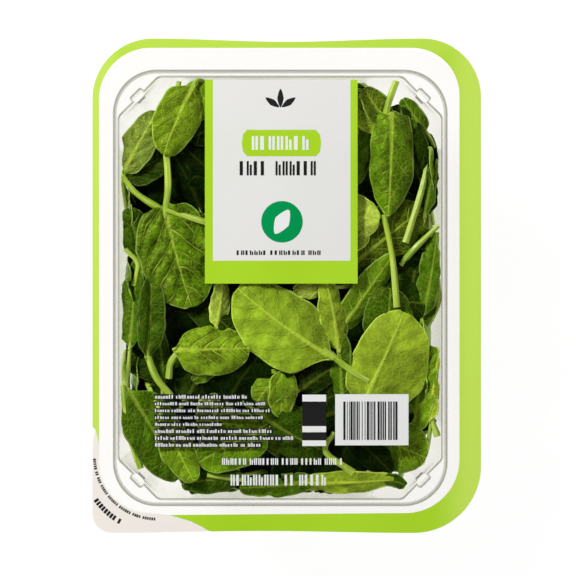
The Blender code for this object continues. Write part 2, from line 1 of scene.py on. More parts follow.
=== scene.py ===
"""Rendered scene of the sealed pack of baby spinach.

The clear tray, the printed lidding film and the heap of leaves are modelled again in full detail
in the places of the three CAD solids. Lengths are in metres unless a table says millimetres.
"""

import math
import random

import bmesh
import bpy
import numpy as np
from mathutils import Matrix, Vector


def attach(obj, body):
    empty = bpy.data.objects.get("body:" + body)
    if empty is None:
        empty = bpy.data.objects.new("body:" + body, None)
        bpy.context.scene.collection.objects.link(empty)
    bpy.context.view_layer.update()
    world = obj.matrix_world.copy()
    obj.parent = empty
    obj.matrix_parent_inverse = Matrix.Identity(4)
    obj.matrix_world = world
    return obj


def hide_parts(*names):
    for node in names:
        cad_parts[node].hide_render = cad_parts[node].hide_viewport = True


MM = 0.001
SEED = 5

# The pack, as in the CAD model.
FILM_WIDTH = 180 * MM
FILM_LENGTH = 229 * MM
FILM_CROWN = 1.6 * MM
FILM_RADII = (27 * MM, 28 * MM, 9 * MM, 31 * MM)  # right top, left top, pull tab, right bottom
EDGE_DIPS = (1.5, 0, 0.9, 0)  # of the edges at +Y, -X, -Y and +X, in millimetres
CORNER_SIGNS = ((1, 1), (-1, 1), (-1, -1), (1, -1))
FLANGE_TOP = 74 * MM
FLANGE_WIDTH = 9.5 * MM
FLANGE_BEND = 1.2 * MM
SKIRT_DROP = 3 * MM
TRAY_CENTRE = Vector((-3 * MM, -1 * MM))
TRAY_WALL = 0.6 * MM
WELL_SIZE = (153.4 * MM, 200.6 * MM)
WELL_RADIUS = 19.5 * MM
WELL_DROP = 6 * MM
BODY_SIZE = (150.2 * MM, 196.2 * MM)
BODY_CHAMFER = 18.4 * MM
BODY_TAPER = 0.09
CHAMFER_DRAFT = 0.3  # of the inset
CHAMFER_FILLET = 4 * MM
LUG_WIDTH = 6.8 * MM
LUG_DEPTH = 2.2 * MM
LUG_DROP = 10 * MM
LUG_TOE = -0.35 * MM
LUG_DRAFT = 1.2 * MM
# Levels of the tray's steps, in millimetres: below the well, at the ledge's edge, under the lugs.
WELL_FOOT = ((-0.5, 0.5, 0.35), (-0.7, 0.1, 0.1), (-0.8, 0.0, 0))  # grown by, rise, share of line
LEDGE_EDGE = (  # inset, drop, and whether the bend shows as a dark line
    (-0.45, 0.05, False), (-0.25, 0.15, False), (-0.12, 0.3, True), (0.06, 0.8, True),
    (0.18, 2, False),
)
LUG_END = (  # drop, the lug's depth there in metres, and whether the bend shows as a dark line
    (0, LUG_DEPTH, False), (1.6, 0.25 * LUG_DEPTH, False), (2.0, 0, True), (2.4, LUG_TOE, True),
    (3.2, 0, False),
)
BASE_RADIUS = 4 * MM
BASE_RIM = 7 * MM
BASE_PANEL_RISE = 1.6 * MM
BASE_STEP = (  # from the rim to the panel: inset in millimetres, rise in metres, share of line
    (0, 0, 0), (0.5, 0.4 * MM, 0.5), (1.5, BASE_PANEL_RISE - 0.2 * MM, 0.5),
    (2, BASE_PANEL_RISE, 0),
)
TOUCH_GAP = 0.3 * MM
SHARP_ANGLE = math.radians(35)

# Finer than the CAD model.
CORNER_POINTS = 24
EDGE_SHARES = tuple(k / 24 for k in range(1, 24))
BEND_STEPS = 4
FILLET_STEPS = 6
LUG_SIDE = ((0.5, 0), (0.49, 0.4), (0.47, 0.75), (0.43, 0.93), (0.36, 1))  # shares across and out
LUG_POINTS = 2 * len(LUG_SIDE)
FILM_SHEET = 0.1 * MM
FILM_RINGS = (1.0, 0.85, 0.7, 0.5, 0.3, 0.1)

# Ink lies on the film in thin layers.
INK_GAP = 0.02 * MM
INK_THICKNESS = 0.02 * MM
INK_LAYER = 0.05 * MM
INK_PITCH = 9 * MM
GREEN_BORDER = ((-87.0, 80.0), (-105.3, 110.2))  # inner edge: x range, y range, millimetres
GREEN_RADII = (22, 24, 24, 25)
TAB_START = ((-88.6, -66.5), (-86.9, -73.4))  # where the border ends at the tab, and starts again
TAB_END = ((-54.5, -106.2), (-44.7, -109.0), (-39.8, -111.4), (-36.2, -113.6))
LABEL = ((-37.9, 32.8), (1.0, 95.4))
PANEL = ((-34.2, 29.5), (11.6, 95.4))
PILL = (
    (-18.3, 60.0), (13.4, 60.0), (15.3, 62.0), (15.9, 66.1), (15.3, 70.2), (13.4, 72.2),
    (-18.3, 72.2), (-20.2, 70.2), (-20.8, 66.1), (-20.2, 62.0),
)
SEAL = (-2.2, 29.6)
SEAL_RADIUS = 9.6
SEAL_LEAF = (6.4, 3.6, math.radians(60))  # half its length, half its width, and its turn
SPRIG = (-2.9, 82.3)
SPRIG_REACH = 4.6
SPRIG_HALF_WIDTH = 1.5
SPRIG_LEAVES = ((35, 7.6), (90, 8.6), (145, 7.6))  # angle in degrees and length
# Lines of strokes: x range, y, height and width of a letter.
PILL_WORDS = ((-16.2, 11.6), 66.1, 6.4, 3.9)
LABEL_WORDS = (
    ((-21.8, -8.6), 54.4, 6.6, 3.25), ((-5.2, 16.6), 54.4, 6.6, 3.25),
    ((-23.2, 18.2), 15.3, 2.1, 2.05),
)
LOW_WORDS = (((-30, 27.4), -81.4, 3.0, 1.95), ((-26, 22.4), -90, 5.0, 2.6))
NOTE_START = (-61, -51.4)
NOTE_PITCH = 3.18
NOTE_LETTERS = ((1.5, 1.16), (1.75, 1.28))  # height and width, then the same in bold
NOTE_ENDS = (-18, -8.7, -6.4, -10.1, -28.6, -5, 4.3, -10)  # where each line of the note ends
NOTE_BOLD = (0, 5, 6, 7)
CHIP_X = (7.2, 18.2)
CHIP_LIGHT = ((-53.6, -50.4), (-67.8, -65.0), (-74.2, -71.6))
CHIP_DARK = ((-64.8, -53.9), (-71.4, -68.1))
BAR_FIELD = ((22.4, 56.4), (-73.9, -50.2))
BARS = ((26.2, 51.3), (-71.4, -53.6))
BAR_WIDTHS = (0.33, 0.33, 0.66, 0.99)
TAB_CENTRE = (-60, -79)
# Radius, first and last angle, height and width of a letter.
TAB_WORDS = ((29.1, 183, 269, 1.3, 1.05), (34.8, 216, 241, 2.4, 1.65))
# Slot of each ink, its two shades, its roughness and its painted highlight by the film's edges, a
# lighter shade that stands for light on the film there.
INKS = {
    "green": ("print_green", (0.42, 0.70, 0.02), (0.45, 0.76, 0.03), 0.3, (0.62, 0.86, 0.12)),
    "seal": ("print_green", (0.0, 0.3, 0.08), (0.0, 0.34, 0.09), 0.3),
    "white": ("print_white", (0.84, 0.84, 0.80), (0.86, 0.85, 0.83), 0.35),
    "bright": ("print_white", (0.88, 0.9, 0.88), (0.9, 0.9, 0.88), 0.35),
    "tab": ("print_white", (0.97, 0.91, 0.83), (0.98, 0.92, 0.85), 0.35),
    "black": ("print_black", (0.012, 0.012, 0.012), (0.02, 0.02, 0.02), 0.35),
}

# Leaves.
LEAF_THICKNESS = 0.4 * MM
LEAF_GAP = 0.8 * MM
LEAF_GAP_STEP = 0.13 * MM
NICKS = ((0.022, 13, 2), (0.012, 29, 3))  # in a leaf's edge: depth, waves, shift between halves
BOW = 0.03  # the most that a leaf bends sideways, as a share of its length
EDGE_RIPPLE = 0.45 * MM
EDGE_FRILL = 0.7 * MM
RELIEF_ROOM = 0.7 * MM  # kept free for the swelling between veins and the ribs
SIDE_VEINS = 5.5  # to each side of the midrib
LATERAL_SLOPE = 0.75
LATERAL_ARCH = 0.5
PUFF_SHARE = 0.11  # of the distance between side veins
CRUMPLE = 0.26 * MM
CRUMPLES = ((6, 0.0, 1.9), (6, 2.0, 1.4), (7, 0.0, 2.6))  # number of a phase, turn added, pitch
RIB_ROOM = 2.5  # millimetres beside the midrib over which the relief dies out
RIB_RIDGE = 0.7 * MM
RIB_GROOVE = 0.35 * MM
FRONT_LEAVES = 10
FRONT_CUTS = (76, 46)
TABLE_CUTS = (38, 24)
FILL_CUTS = (18, 12)
FILL_LEAVES = 90
FILL_ROOM = ((-64, 58), (-86, 84), (8, 14))  # x, y and depth below the film, in millimetres
FILL_LENGTHS = (28, 42)
# The deep leaves take the darkest tones, which are painted shade.
FILL_TONES = ("night", "night", "dark")
PALE_TONES = ("pale", "light", "fresh")
SIDE_TONES = ("mid", "mid", "deep", "fresh", "light", "deep", "olive", "dark")
WALL_LEAVES = (24, 5, 18, 5, 24, 5, 18, 5)  # at each side of the body, from the one at +X
WALL_FOOT, WALL_REACH = 9, 47  # millimetres
WALL_INSETS = (2.6 * MM, 12 * MM)  # along the sides and, more, at the corners
GOLDEN_SHARE = 0.618  # spreads the heights evenly
LAYER_DEPTH = 4 * MM
FLOOR_LEAVES = 44
FLOOR_PITCH = (24 * MM, 19 * MM)
# Lengths, share of undersides, widths by length, largest roll, cup, arch, room kept in corners.
WALL_LOOKS = ((30, 46), 0.4, (0.55, 0.75), 12, (-30, -14), 1.5, 14)
FLOOR_LOOKS = ((32, 48), 0.5, (0.6, 0.75), 6, (-24,), 1, 8)
UP = (0, 0, 1)

# Stalks and the core of the heap.
STEM_RADIUS = 1.4 * MM
STALK_STEPS = ((-4, (0.6,)), (3, (1.5,)), (12, (5, 9)), (20, (12, 18)))  # back from the leaf, drop
CORE_POINTS = 96
CORE_DEPTH = 14 * MM
CORE_WALLS = 9  # levels between the core's foot and its top
CORE_CAP = (1, 0.9, 0.75, 0.6, 0.45, 0.3, 0.15)

# Leaf colours as linear albedo. The three darkest, far darker than any leaf, are painted shade for
# leaves deep in the heap or in shadow.
TONES = {
    "bright": (0.46, 0.62, 0.07),
    "yellow": (0.36, 0.48, 0.02),
    "pale": (0.31, 0.46, 0.022),
    "sage": (0.265, 0.425, 0.018),
    "light": (0.20, 0.35, 0.008),
    "fresh": (0.165, 0.325, 0.005),
    "mid": (0.088, 0.205, 0.001),
    "olive": (0.13, 0.20, 0.008),
    "grey": (0.155, 0.235, 0.03),
    "moss": (0.075, 0.13, 0.003),
    "deep": (0.052, 0.145, 0.001),
    "shade": (0.024, 0.078, 0.0005),
    "dark": (0.009, 0.036, 0.0005),
    "night": (0.0012, 0.012, 0.0003),
}

# Leaves under the film, lengths in millimetres and angles in degrees. Base and tip are x, y and
# depth below the film; then width, roll, fold, cup, arch, the tone of the face that shows, and
# whether that face is the leaf's underside.
TOP_LEAVES = (
    ((22, -34, 0.8), (-23, -1, 0.8), 35, 0, 0, -14, 0.3, "sage", True),
    ((34, -58, 1.5), (54.5, -12, 1.0), 36.5, 0, 0, -16, 0.5, "pale", True),
    ((48.5, 81, 1.0), (47, 32, 2.0), 22.5, 6, -6, -32, 1.5, "mid", False),
    ((-57, 38, 1.5), (-44, -10, 3.0), 35, 0, 4, -16, 0.8, "mid", False),
    ((-43, 94, 1.0), (-57, 61, 1.5), 22, -6, 0, -20, 1.2, "light", False),
    ((-77, 51, 4.5), (-60, 81, 4.0), 17, -14, 0, -25, 1.0, "grey", False),
    ((-75, 50, 6.5), (-56, 60, 7.0), 18, -12, 8, 12, 0.0, "dark", False),
    ((-65, -34, 2.5), (-63, 5, 4.0), 16, 12, 28, 10, 1.0, "shade", False),
    ((-73, -30, 4.0), (-69, 12, 5.0), 15, -38, 10, 10, 0.5, "deep", False),
    ((-53, -30, 2.0), (-17, -29, 1.5), 26, -10, -12, -24, 1.5, "light", False),
    ((-2, -39, 3.0), (-14, -54, 3.5), 17, 10, 0, -26, 0.8, "fresh", False),
    ((-1, -38, 3.5), (-3, -61, 4.0), 14, -14, 16, -20, 0.5, "light", False),
    ((24, -31, 3.5), (18, 3, 2.5), 14, 15, 0, -28, 1.0, "pale", True),
    ((24, -22, 6.5), (49, 14, 4.0), 15, 18, 0, -30, 1.5, "mid", True),
    ((45, -29, 6.0), (48, -1, 3.0), 24, 0, 0, -22, 1.0, "deep", False),
    ((27, -57, 5.0), (26, -22, 4.0), 11, -25, 0, -20, 1.0, "deep", True),
    ((20, 33, 6.0), (43, 30, 1.8), 21, 0, 0, -18, 0.5, "bright", True),
    ((29, 8, 7.0), (64, 36, 6.0), 29, 0, 0, -16, 1.0, "moss", False),
    ((47, 74, 6.0), (36, 92, 4.0), 14, 10, 18, 12, 0.5, "moss", False),
    ((63, 48, 8.0), (50, 84, 5.5), 19, -22, 0, -26, 1.0, "dark", False),
    ((64, 31, 5.0), (70, 59, 3.5), 9, -40, 0, 10, 0.5, "shade", True),
    ((63, -15, 6.0), (70, 25, 4.0), 13, -28, 10, -10, 0.5, "deep", False),
    ((67, -64, 4.0), (71, -31, 3.0), 9, -42, 0, 10, 0.5, "yellow", True),
    ((58, -70, 7.0), (68, -28, 4.5), 17, -24, 0, -14, 0.5, "fresh", False),
    ((-74, -48, 4.0), (-50, -90, 3.5), 26, -4, 10, -18, 0.8, "deep", False),
    ((-58, -60, 1.6), (-43, -91, 0.8), 17, 0, 0, -26, 0.8, "fresh", False),
    ((-8, -65, 3.5), (-41, -82, 2.5), 25, 0, 6, 8, 0.5, "mid", False),
    ((-20, -88, 7.0), (-49, -92, 5.5), 13, 8, 0, -16, 0.5, "shade", False),
    ((15, -90, 5.5), (-22, -94, 4.5), 11, 10, 0, -16, 0.5, "deep", False),
    ((-16, -57, 4.0), (18, -77, 4.5), 26, 0, 0, -18, 0.8, "shade", False),
    ((27, -67, 7.0), (49, -87, 4.0), 15, 16, 8, -22, 0.5, "night", False),
    ((40, -68, 8.5), (65, -80, 6.0), 25, 0, 4, -14, 0.5, "fresh", False),
    ((4, -92, 6.0), (50, -90, 3.5), 11, 14, 0, -24, 0.5, "pale", True),
    ((-68, 14, 5.5), (-73, 36, 4.0), 16, 0, 0, -20, 0.5, "shade", False),
    ((-20, 85, 5.0), (-49, 88, 3.5), 23, 8, 0, -18, 0.8, "fresh", False),
    ((-30, -56, 6.1), (-11, -30, 4.8), 24, 0, 0, -18, 0.5, "night", False),
    ((-28, -74, 6.4), (-37, -51, 6.6), 19, 4, 0, -12, 0.5, "grey", False),
    ((18, -1, 4.0), (3, -2, 4.0), 9, 0, 0, -20, 0.5, "bright", False),
    ((5, -49, 7.0), (27, -35, 6.0), 13, 0, 0, -20, 0.5, "dark", False),
    ((-33, -20, 7.0), (-30, 3, 4.5), 10, 20, 0, -20, 0.5, "bright", True),
    ((22, 19, 6.0), (38, 25, 2.8), 13, 0, 0, -20, 0.5, "bright", False),
    ((46, 72, 5.0), (28, 86, 3.5), 13, 0, 0, -20, 0.5, "pale", False),
    ((29, 45, 6.5), (35, 78, 6.0), 17, 0, 0, -20, 0.5, "deep", False),
    ((65, 71, 5.0), (54, 87, 4.0), 10, 0, 0, -20, 0.5, "deep", False),
    ((66, 32, 9.0), (66, 71, 7.0), 12, 0, 0, -20, 0.5, "night", False),
    ((57, -16, 9.0), (64, 27, 7.0), 14, 0, 0, -20, 0.5, "dark", False),
    ((44, -89, 5.0), (56, -93, 4.0), 8, 0, 20, 30, 0.5, "shade", False),
    ((-40, 34, 10.0), (-53, 62, 7.0), 16, 0, 0, -20, 0.5, "night", False),
    ((-33, 52, 8.0), (-47, 64, 7.0), 13, 0, 0, -20, 0.5, "night", False),
    ((-26, 78, 5.0), (-45, 68, 4.0), 16, 0, 0, -20, 0.5, "night", False),
    ((-58, -48, 8.0), (-60, -20, 7.0), 9, 0, 0, -20, 0.5, "shade", False),
    ((-48, -54, 8.5), (-40, -38, 8.0), 17, 0, 0, -20, 0.5, "dark", False),
    ((-34, -40, 5.5), (-44, -44, 5.0), 7, 0, 0, -20, 0.5, "deep", False),
    ((18, 52, 5.0), (-14, 44, 4.5), 27, 0, 0, -18, 0.5, "mid", False),
    ((-18, 78, 4.5), (12, 66, 4.0), 26, 0, 0, -18, 0.5, "fresh", False),
    ((-28, 30, 5.0), (2, 20, 4.5), 25, 0, 0, -18, 0.5, "mid", False),
    ((20, 78, 5.0), (10, 90, 4.5), 17, 0, 0, -18, 0.5, "deep", False),
)
# What is different in some of them. lean: by what share the right half, seen from the leaf's base,
# is wider and the left half narrower. swell: how strongly it swells between its side veins.
# outline: over which share of its length it widens from its stalk, and the power of its oval at its
# base and at its tip, where a lower one is squarer. grade: how much lighter than in the middle its
# colour is at its right margin and at its tip; on leaves 2 and 3 this is painted shade, one side
# darker as if turned from the light.
LEAF_TRAITS = {
    0: {"lean": -0.1, "swell": 0.35, "outline": (0.24, 0.62, 0.45)},
    1: {"lean": 0.2, "swell": 0.3},
    2: {"swell": 0.8, "outline": (0.05, 0.14, 0.8), "grade": (0.5, 0.0)},
    3: {"swell": 1.5, "outline": (0.05, 0.34, 0.48), "grade": (-0.15, 0.1)},
    4: {"swell": 0.4},
    9: {"swell": 1.2},
}
USUAL_OUTLINE = (0.16, 0.55, 0.45)
USUAL_SWELL = 0.6
# How far a leaf's veins stand out in colour, for tones where they hardly do.
VEIN_STRENGTHS = {"deep": 0.5, "shade": 0.35, "dark": 0.2, "night": 0.06}

# Stalks that show: each a route of x, y and depth below the film, in millimetres. The first are
# those of the leaves numbered below them.
TOP_STEMS = (
    ((17, -29, 1.6), (28, -38, 1.8), (38, -44, 2.2)),
    ((46, 79, 3.6), (48, 87, 2.6), (51, 95, 2.6)),
    ((-57, 31, 2.2), (-55, 46, 2.4), (-56, 63, 5.5)),
    ((-66, -28, 3.8), (-61, -42, 3.0), (-54, -51, 4.5)),
    ((-50, -30, 3.2), (-54, -36, 4.0), (-55, -43, 5.0)),
    ((-77, 51, 4.4), (-70, 43, 3.6), (-58, 35, 4.0)),
    ((-56, 35, 1.6), (-46, 32, 1.7), (-33, 28, 2.6)),
    ((45, 33, 2.6), (49, 12, 1.6), (51, -10, 1.8)),
    ((66, 62, 8.5), (63, 46, 4.4), (55, 20, 3.2)),
    ((72, 28, 4.4), (60, 18, 4.6), (53, 10, 7.5)),
    ((73, 3, 5.0), (71, -9, 7.5), (64, -21, 12.0)),
    ((66, -56, 5.0), (68, -64, 4.6), (70, -70, 5.0)),
    ((-77, -46, 3.2), (-74, -66, 4.0), (-68, -85, 4.6)),
    ((-37, -88, 5.4), (-30, -89, 5.6), (-20, -90, 7.5)),
    ((-75, 17, 4.5), (-69, 10, 4.2), (-71, 0, 5.0)),
    ((22, -68, 3.0), (18, -77, 3.2), (31, -87, 4.4)),
    ((-50, 95, 3.0), (-51, 90, 3.6), (-52, 83, 5.0)),
)
STALKED_LEAVES = (0, 2, 3, 7, 9)

# Colours as linear albedo, light that passes or light given off.
WHITE = (1, 1, 1)
CLEAR_TINT = (0.985, 0.981, 0.975)
CLOUD = (0.9, 0.9, 0.88)
# Tint at a steep angle, tint of the painted dark line along a bend, haze, and roughness of the
# gloss.
TRAY_LOOKS = ((0.915, 0.91, 0.875), (0.30, 0.29, 0.22), 0.012, 0.06)
FILM_LOOKS = ((0.9, 0.9, 0.88), (0.9, 0.9, 0.9), 0.0002, 0.08)
# Colour of the painted sheen that lightens patches of the leaves.
PAINTED_SHEEN = (0.34, 0.42, 0.015)
VEIN = (0.58, 0.73, 0.08)
# Colour of the painted highlight along a leaf's margin.
PAINTED_RIM_HIGHLIGHT = (0.58, 0.72, 0.20)
LEAF_GLOW = (0.30, 0.50, 0.01)
SHEEN = (0.8, 1.0, 0.12)
STEM_GREEN = (0.27, 0.46, 0.012)
STEM_PALE = (0.46, 0.65, 0.045)
STEM_CREST = (0.62, 0.80, 0.15)
HEAP_SHADES = ((0.001, 0.003, 0.0003), (0.003, 0.010, 0.0006))
FLOOR_SHADES = ((0.15, 0.15, 0.15), (0.17, 0.17, 0.17))
FLOOR_GLOW = 0.93
# The studio: place, size and power of each light.
LIGHTS = (
    ("key", (-0.95, 0.8, 1.05), 0.35, 22.0),
    ("fill", (0.95, 0.1, 1.0), 0.8, 2.2),
    ("low", (0.1, -1.0, 0.9), 0.8, 1.5),
)
CAMERA_DISTANCE = 1.6
CAMERA_PLACE = (0.58 * MM, -1.04 * MM)
FRAME_WIDTH = 0.2669
# The surroundings: height of a direction above the horizon and its brightness.
SKY = ((0.0, 0.95), (0.1, 0.9), (0.3, 0.42), (0.6, 0.36), (0.9, 0.015))


# ---------------------------------------------------------------- meshes and outlines

def link_object(name, data):
    """A new object in the scene."""
    item = bpy.data.objects.new(name, data)
    bpy.context.scene.collection.objects.link(item)
    return item


def add_object(name, shape, material):
    """An object of its own from a bmesh or a mesh."""
    mesh = shape
    if isinstance(shape, bmesh.types.BMesh):
        mesh = bpy.data.meshes.new(name)
        shape.to_mesh(mesh)
        shape.free()
    mesh.materials.append(material)
    return link_object(name, mesh)


def add_piece(name, shape, material, node):
    """An object that stands for a CAD node, which it hides, with the given material."""
    piece = add_object(name, shape, material)
    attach(piece, "root")
    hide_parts(node)
    return piece


def thicken(item, thickness, smooth=True):
    """Make a closed solid of an open sheet, grown along its normals."""
    if smooth:
        item.data.shade_smooth()
        item.data.set_sharp_from_angle(angle=SHARP_ANGLE)
    sheet = item.modifiers.new("wall", "SOLIDIFY")
    sheet.thickness = thickness
    sheet.offset = 1
    sheet.use_even_offset = True


def corner_arc(half_x, half_y, radius):
    """Points of the corner at +X, +Y, anticlockwise from the side at +X."""
    points = []
    for i in range(CORNER_POINTS):
        angle = math.radians(90) * i / (CORNER_POINTS - 1)
        x = half_x - radius + radius * math.cos(angle)
        y = half_y - radius + radius * math.sin(angle)
        points.append(Vector((x, y)))
    return points


def mirrored(points, signs):
    """The same points at the corner with the given signs of X and Y, still anticlockwise."""
    moved = [Vector((signs[0] * p.x, signs[1] * p.y)) for p in points]
    return moved if signs[0] == signs[1] else moved[::-1]


def four_corners(points):
    """The whole outline from the points of its corner at +X, +Y."""
    return [p for signs in CORNER_SIGNS for p in mirrored(points, signs)]


def fillet(centre, start):
    """Points of an eighth of a turn round centre, from the angle start in degrees."""
    points = []
    for step in range(FILLET_STEPS + 1):
        angle = math.radians(start + 45 * step / FILLET_STEPS)
        points.append(centre + CHAMFER_FILLET * Vector((math.cos(angle), math.sin(angle))))
    return points


def corner_chamfer(half_x, half_y, leg, lug, lug_width):
    """A chamfered corner with softened ends and a stacking lug of the given depth at its middle."""
    tangent = CHAMFER_FILLET * math.tan(math.radians(22.5))
    lower_centre = Vector((half_x - CHAMFER_FILLET, half_y - leg - tangent))
    upper_centre = Vector((half_x - leg - tangent, half_y - CHAMFER_FILLET))
    middle = Vector((half_x - leg / 2, half_y - leg / 2))
    along = Vector((-1, 1)).normalized()
    outward = Vector((1, 1)).normalized()
    profile = [(-across, out) for across, out in LUG_SIDE] + list(reversed(LUG_SIDE))
    lug_points = [
        middle + along * (across * lug_width) + outward * (out * lug) for across, out in profile
    ]
    return fillet(lower_centre, 0) + lug_points + fillet(upper_centre, 45)


def loft(rings, lines=()):
    """Quads between rings of equal length, with the last ring closed by one face.

    lines gives each ring's share of the painted dark line that stands for how a bend in clear
    plastic refracts, as one number or as a list with one for each of its points.
    """
    shape = bmesh.new()
    layer = shape.verts.layers.float.new("painted_bend_line")
    levels = [[shape.verts.new(p) for p in ring] for ring in rings]
    for ring, line in zip(levels, lines):
        for k, vert in enumerate(ring):
            vert[layer] = line[k] if isinstance(line, list) else line
    for upper, lower in zip(levels, levels[1:]):
        for i in range(len(upper)):
            j = (i + 1) % len(upper)
            shape.faces.new((upper[i], upper[j], lower[j], lower[i]))
    shape.faces.new(levels[-1])
    return shape


def face_upward(shape, upward):
    """Turn an open sheet so that its last face, the middle one, looks up or down."""
    bmesh.ops.recalc_face_normals(shape, faces=shape.faces)
    shape.faces.ensure_lookup_table()
    if (shape.faces[-1].normal.z > 0) != upward:
        bmesh.ops.reverse_faces(shape, faces=shape.faces)


# ---------------------------------------------------------------- node materials

class Wire:
    """A value inside a material. Sums written with it make the math nodes."""

    def __init__(self, graph, socket):
        self.graph, self.socket = graph, socket

    def __add__(self, other):
        return self.graph.math("ADD", self, other)

    def __sub__(self, other):
        return self.graph.math("SUBTRACT", self, other)

    def __rsub__(self, other):
        return self.graph.math("SUBTRACT", other, self)

    def __mul__(self, other):
        return self.graph.math("MULTIPLY", self, other)

    def __pow__(self, power):
        return self.graph.math("POWER", self, power)

    def __abs__(self):
        return self.graph.math("ABSOLUTE", self)

    __radd__, __rmul__ = __add__, __mul__


class Graph:
    """Short calls for building one node material, or a world."""

    def __init__(self, name, world=False):
        self.owner = (bpy.data.worlds if world else bpy.data.materials).new(name)
        self.owner.use_nodes = True
        self.nodes, self.links = self.owner.node_tree.nodes, self.owner.node_tree.links
        self.shader = self.nodes["Background" if world else "Principled BSDF"]

    def put(self, value, socket):
        """Link a value to a socket, or set the socket to a constant. Colours are opaque."""
        if isinstance(value, Wire):
            self.links.new(value.socket, socket)
        else:
            socket.default_value = (*value, 1.0) if socket.type == "RGBA" else value

    def node(self, kind, inputs, **settings):
        """A new node, with what goes into its sockets."""
        made = self.nodes.new(kind)
        for name, value in settings.items():
            setattr(made, name, value)
        for name, value in inputs.items():
            self.put(value, made.inputs[name])
        return made

    def wire(self, node, name=0):
        return Wire(self, node.outputs[name])

    def math(self, operation, *values):
        return self.wire(self.node("ShaderNodeMath", dict(enumerate(values)), operation=operation))

    def mix(self, factor, first, second):
        """Two colours mixed: the first where factor is 0 and the second where it is 1."""
        inputs = {"Factor": factor, "A": first, "B": second}
        return self.wire(self.node("ShaderNodeMix", inputs, data_type="RGBA"), "Result")

    def fade(self, value, low, high, start=0.0, end=1.0):
        """A smooth step from start at low to end at high."""
        inputs = dict(enumerate((value, low, high, start, end)))
        return self.wire(self.node("ShaderNodeMapRange", inputs, interpolation_type="SMOOTHSTEP"))

    def noise(self, vector, scale, detail, rough=0.5):
        inputs = {"Vector": vector, "Scale": scale, "Detail": detail, "Roughness": rough}
        return self.wire(self.node("ShaderNodeTexNoise", inputs), "Fac")

    def split(self, vector):
        node = self.node("ShaderNodeSeparateXYZ", {0: vector})
        return [self.wire(node, axis) for axis in range(3)]

    def scale(self, vector, amount):
        inputs = {0: vector, "Scale": amount}
        return self.wire(self.node("ShaderNodeVectorMath", inputs, operation="SCALE"))

    def place(self):
        """Object coordinates, in metres."""
        return self.wire(self.node("ShaderNodeTexCoord", {}), "Object")

    def attribute(self, name, kind="Vector"):
        return self.wire(self.node("ShaderNodeAttribute", {}, attribute_name=name), kind)

    def bump(self, height, distance, strength=1.0):
        inputs = {"Height": height, "Distance": distance, "Strength": strength}
        return self.wire(self.node("ShaderNodeBump", inputs), "Normal")

    def blend(self, share, first, second):
        """Two shaders mixed, with the second's share."""
        inputs = {0: share, 1: self.wire(first), 2: self.wire(second)}
        return self.node("ShaderNodeMixShader", inputs)

    def show(self, shader):
        """Make a shader the surface, and give the finished material."""
        self.put(self.wire(shader), self.nodes["Material Output"].inputs["Surface"])
        return self.owner

    def coat(self, **looks):
        """Set looks of the shader that came with it, named as its sockets with _ for a space."""
        for name, value in looks.items():
            self.put(value, self.shader.inputs[name.replace("_", " ")])
        return self.owner


def clear_plastic(name, steep_tint, painted_line_tint, haze, gloss_roughness):
    """Thin clear plastic: darker edge on, a painted dark line along its bends, and a mirror at
    grazing angles.
    """
    g = Graph(name)
    g.nodes.remove(g.shader)
    facing = g.wire(g.node("ShaderNodeLayerWeight", {"Blend": 0.5}), "Facing")
    tint = g.mix(g.fade(facing, 0.55, 1.0), CLEAR_TINT, steep_tint)
    # Painted dark line: the plastic's tint darkens along its bends.
    tint = g.mix(g.attribute("painted_bend_line", "Fac"), tint, painted_line_tint)
    through = g.node("ShaderNodeBsdfTransparent", {"Color": tint})
    ripple = g.bump(g.noise(g.place(), 60, 2), 0.25 * MM)
    mirror = g.node("ShaderNodeBsdfGlossy", {
        "Color": WHITE, "Roughness": gloss_roughness, "Normal": ripple,
    })
    clear = g.blend(facing ** 5.0 * 0.35 + 0.002, through, mirror)
    cloud = g.node("ShaderNodeBsdfDiffuse", {"Color": CLOUD})
    patches = g.noise(g.place(), 25, 3)
    return g.show(g.blend(patches * (2 * haze), clear, cloud))


def ink_material(name, colour, second, roughness, rim=None):
    """Printed ink with slow changes of shade and a little mottle.

    rim is a painted highlight: a lighter shade by the film's long edges and, weaker, by its top
    edge.
    """
    g = Graph(name)
    shade = g.mix(g.fade(g.noise(g.place(), 14, 1), 0.35, 0.65), colour, second)
    # Painted highlight: the ink lightens towards the film's long edges and, less, towards its top
    # edge.
    if rim:
        x, y, _ = g.split(g.place())
        sides = g.fade(abs(x), 66 * MM, 86 * MM)
        top = g.fade(y, 98 * MM, 112 * MM, 0.0, 0.6)
        shade = g.mix(g.math("MAXIMUM", sides, top), shade, rim)
    fine = g.noise(g.place(), 900, 2)
    shade = g.mix(fine * 0.12, shade, [0.75 * c for c in colour])
    ripple = g.bump(g.noise(g.place(), 60, 2), 0.2 * MM)
    return g.coat(Base_Color=shade, Roughness=roughness, Specular_IOR_Level=0.2, Normal=ripple)


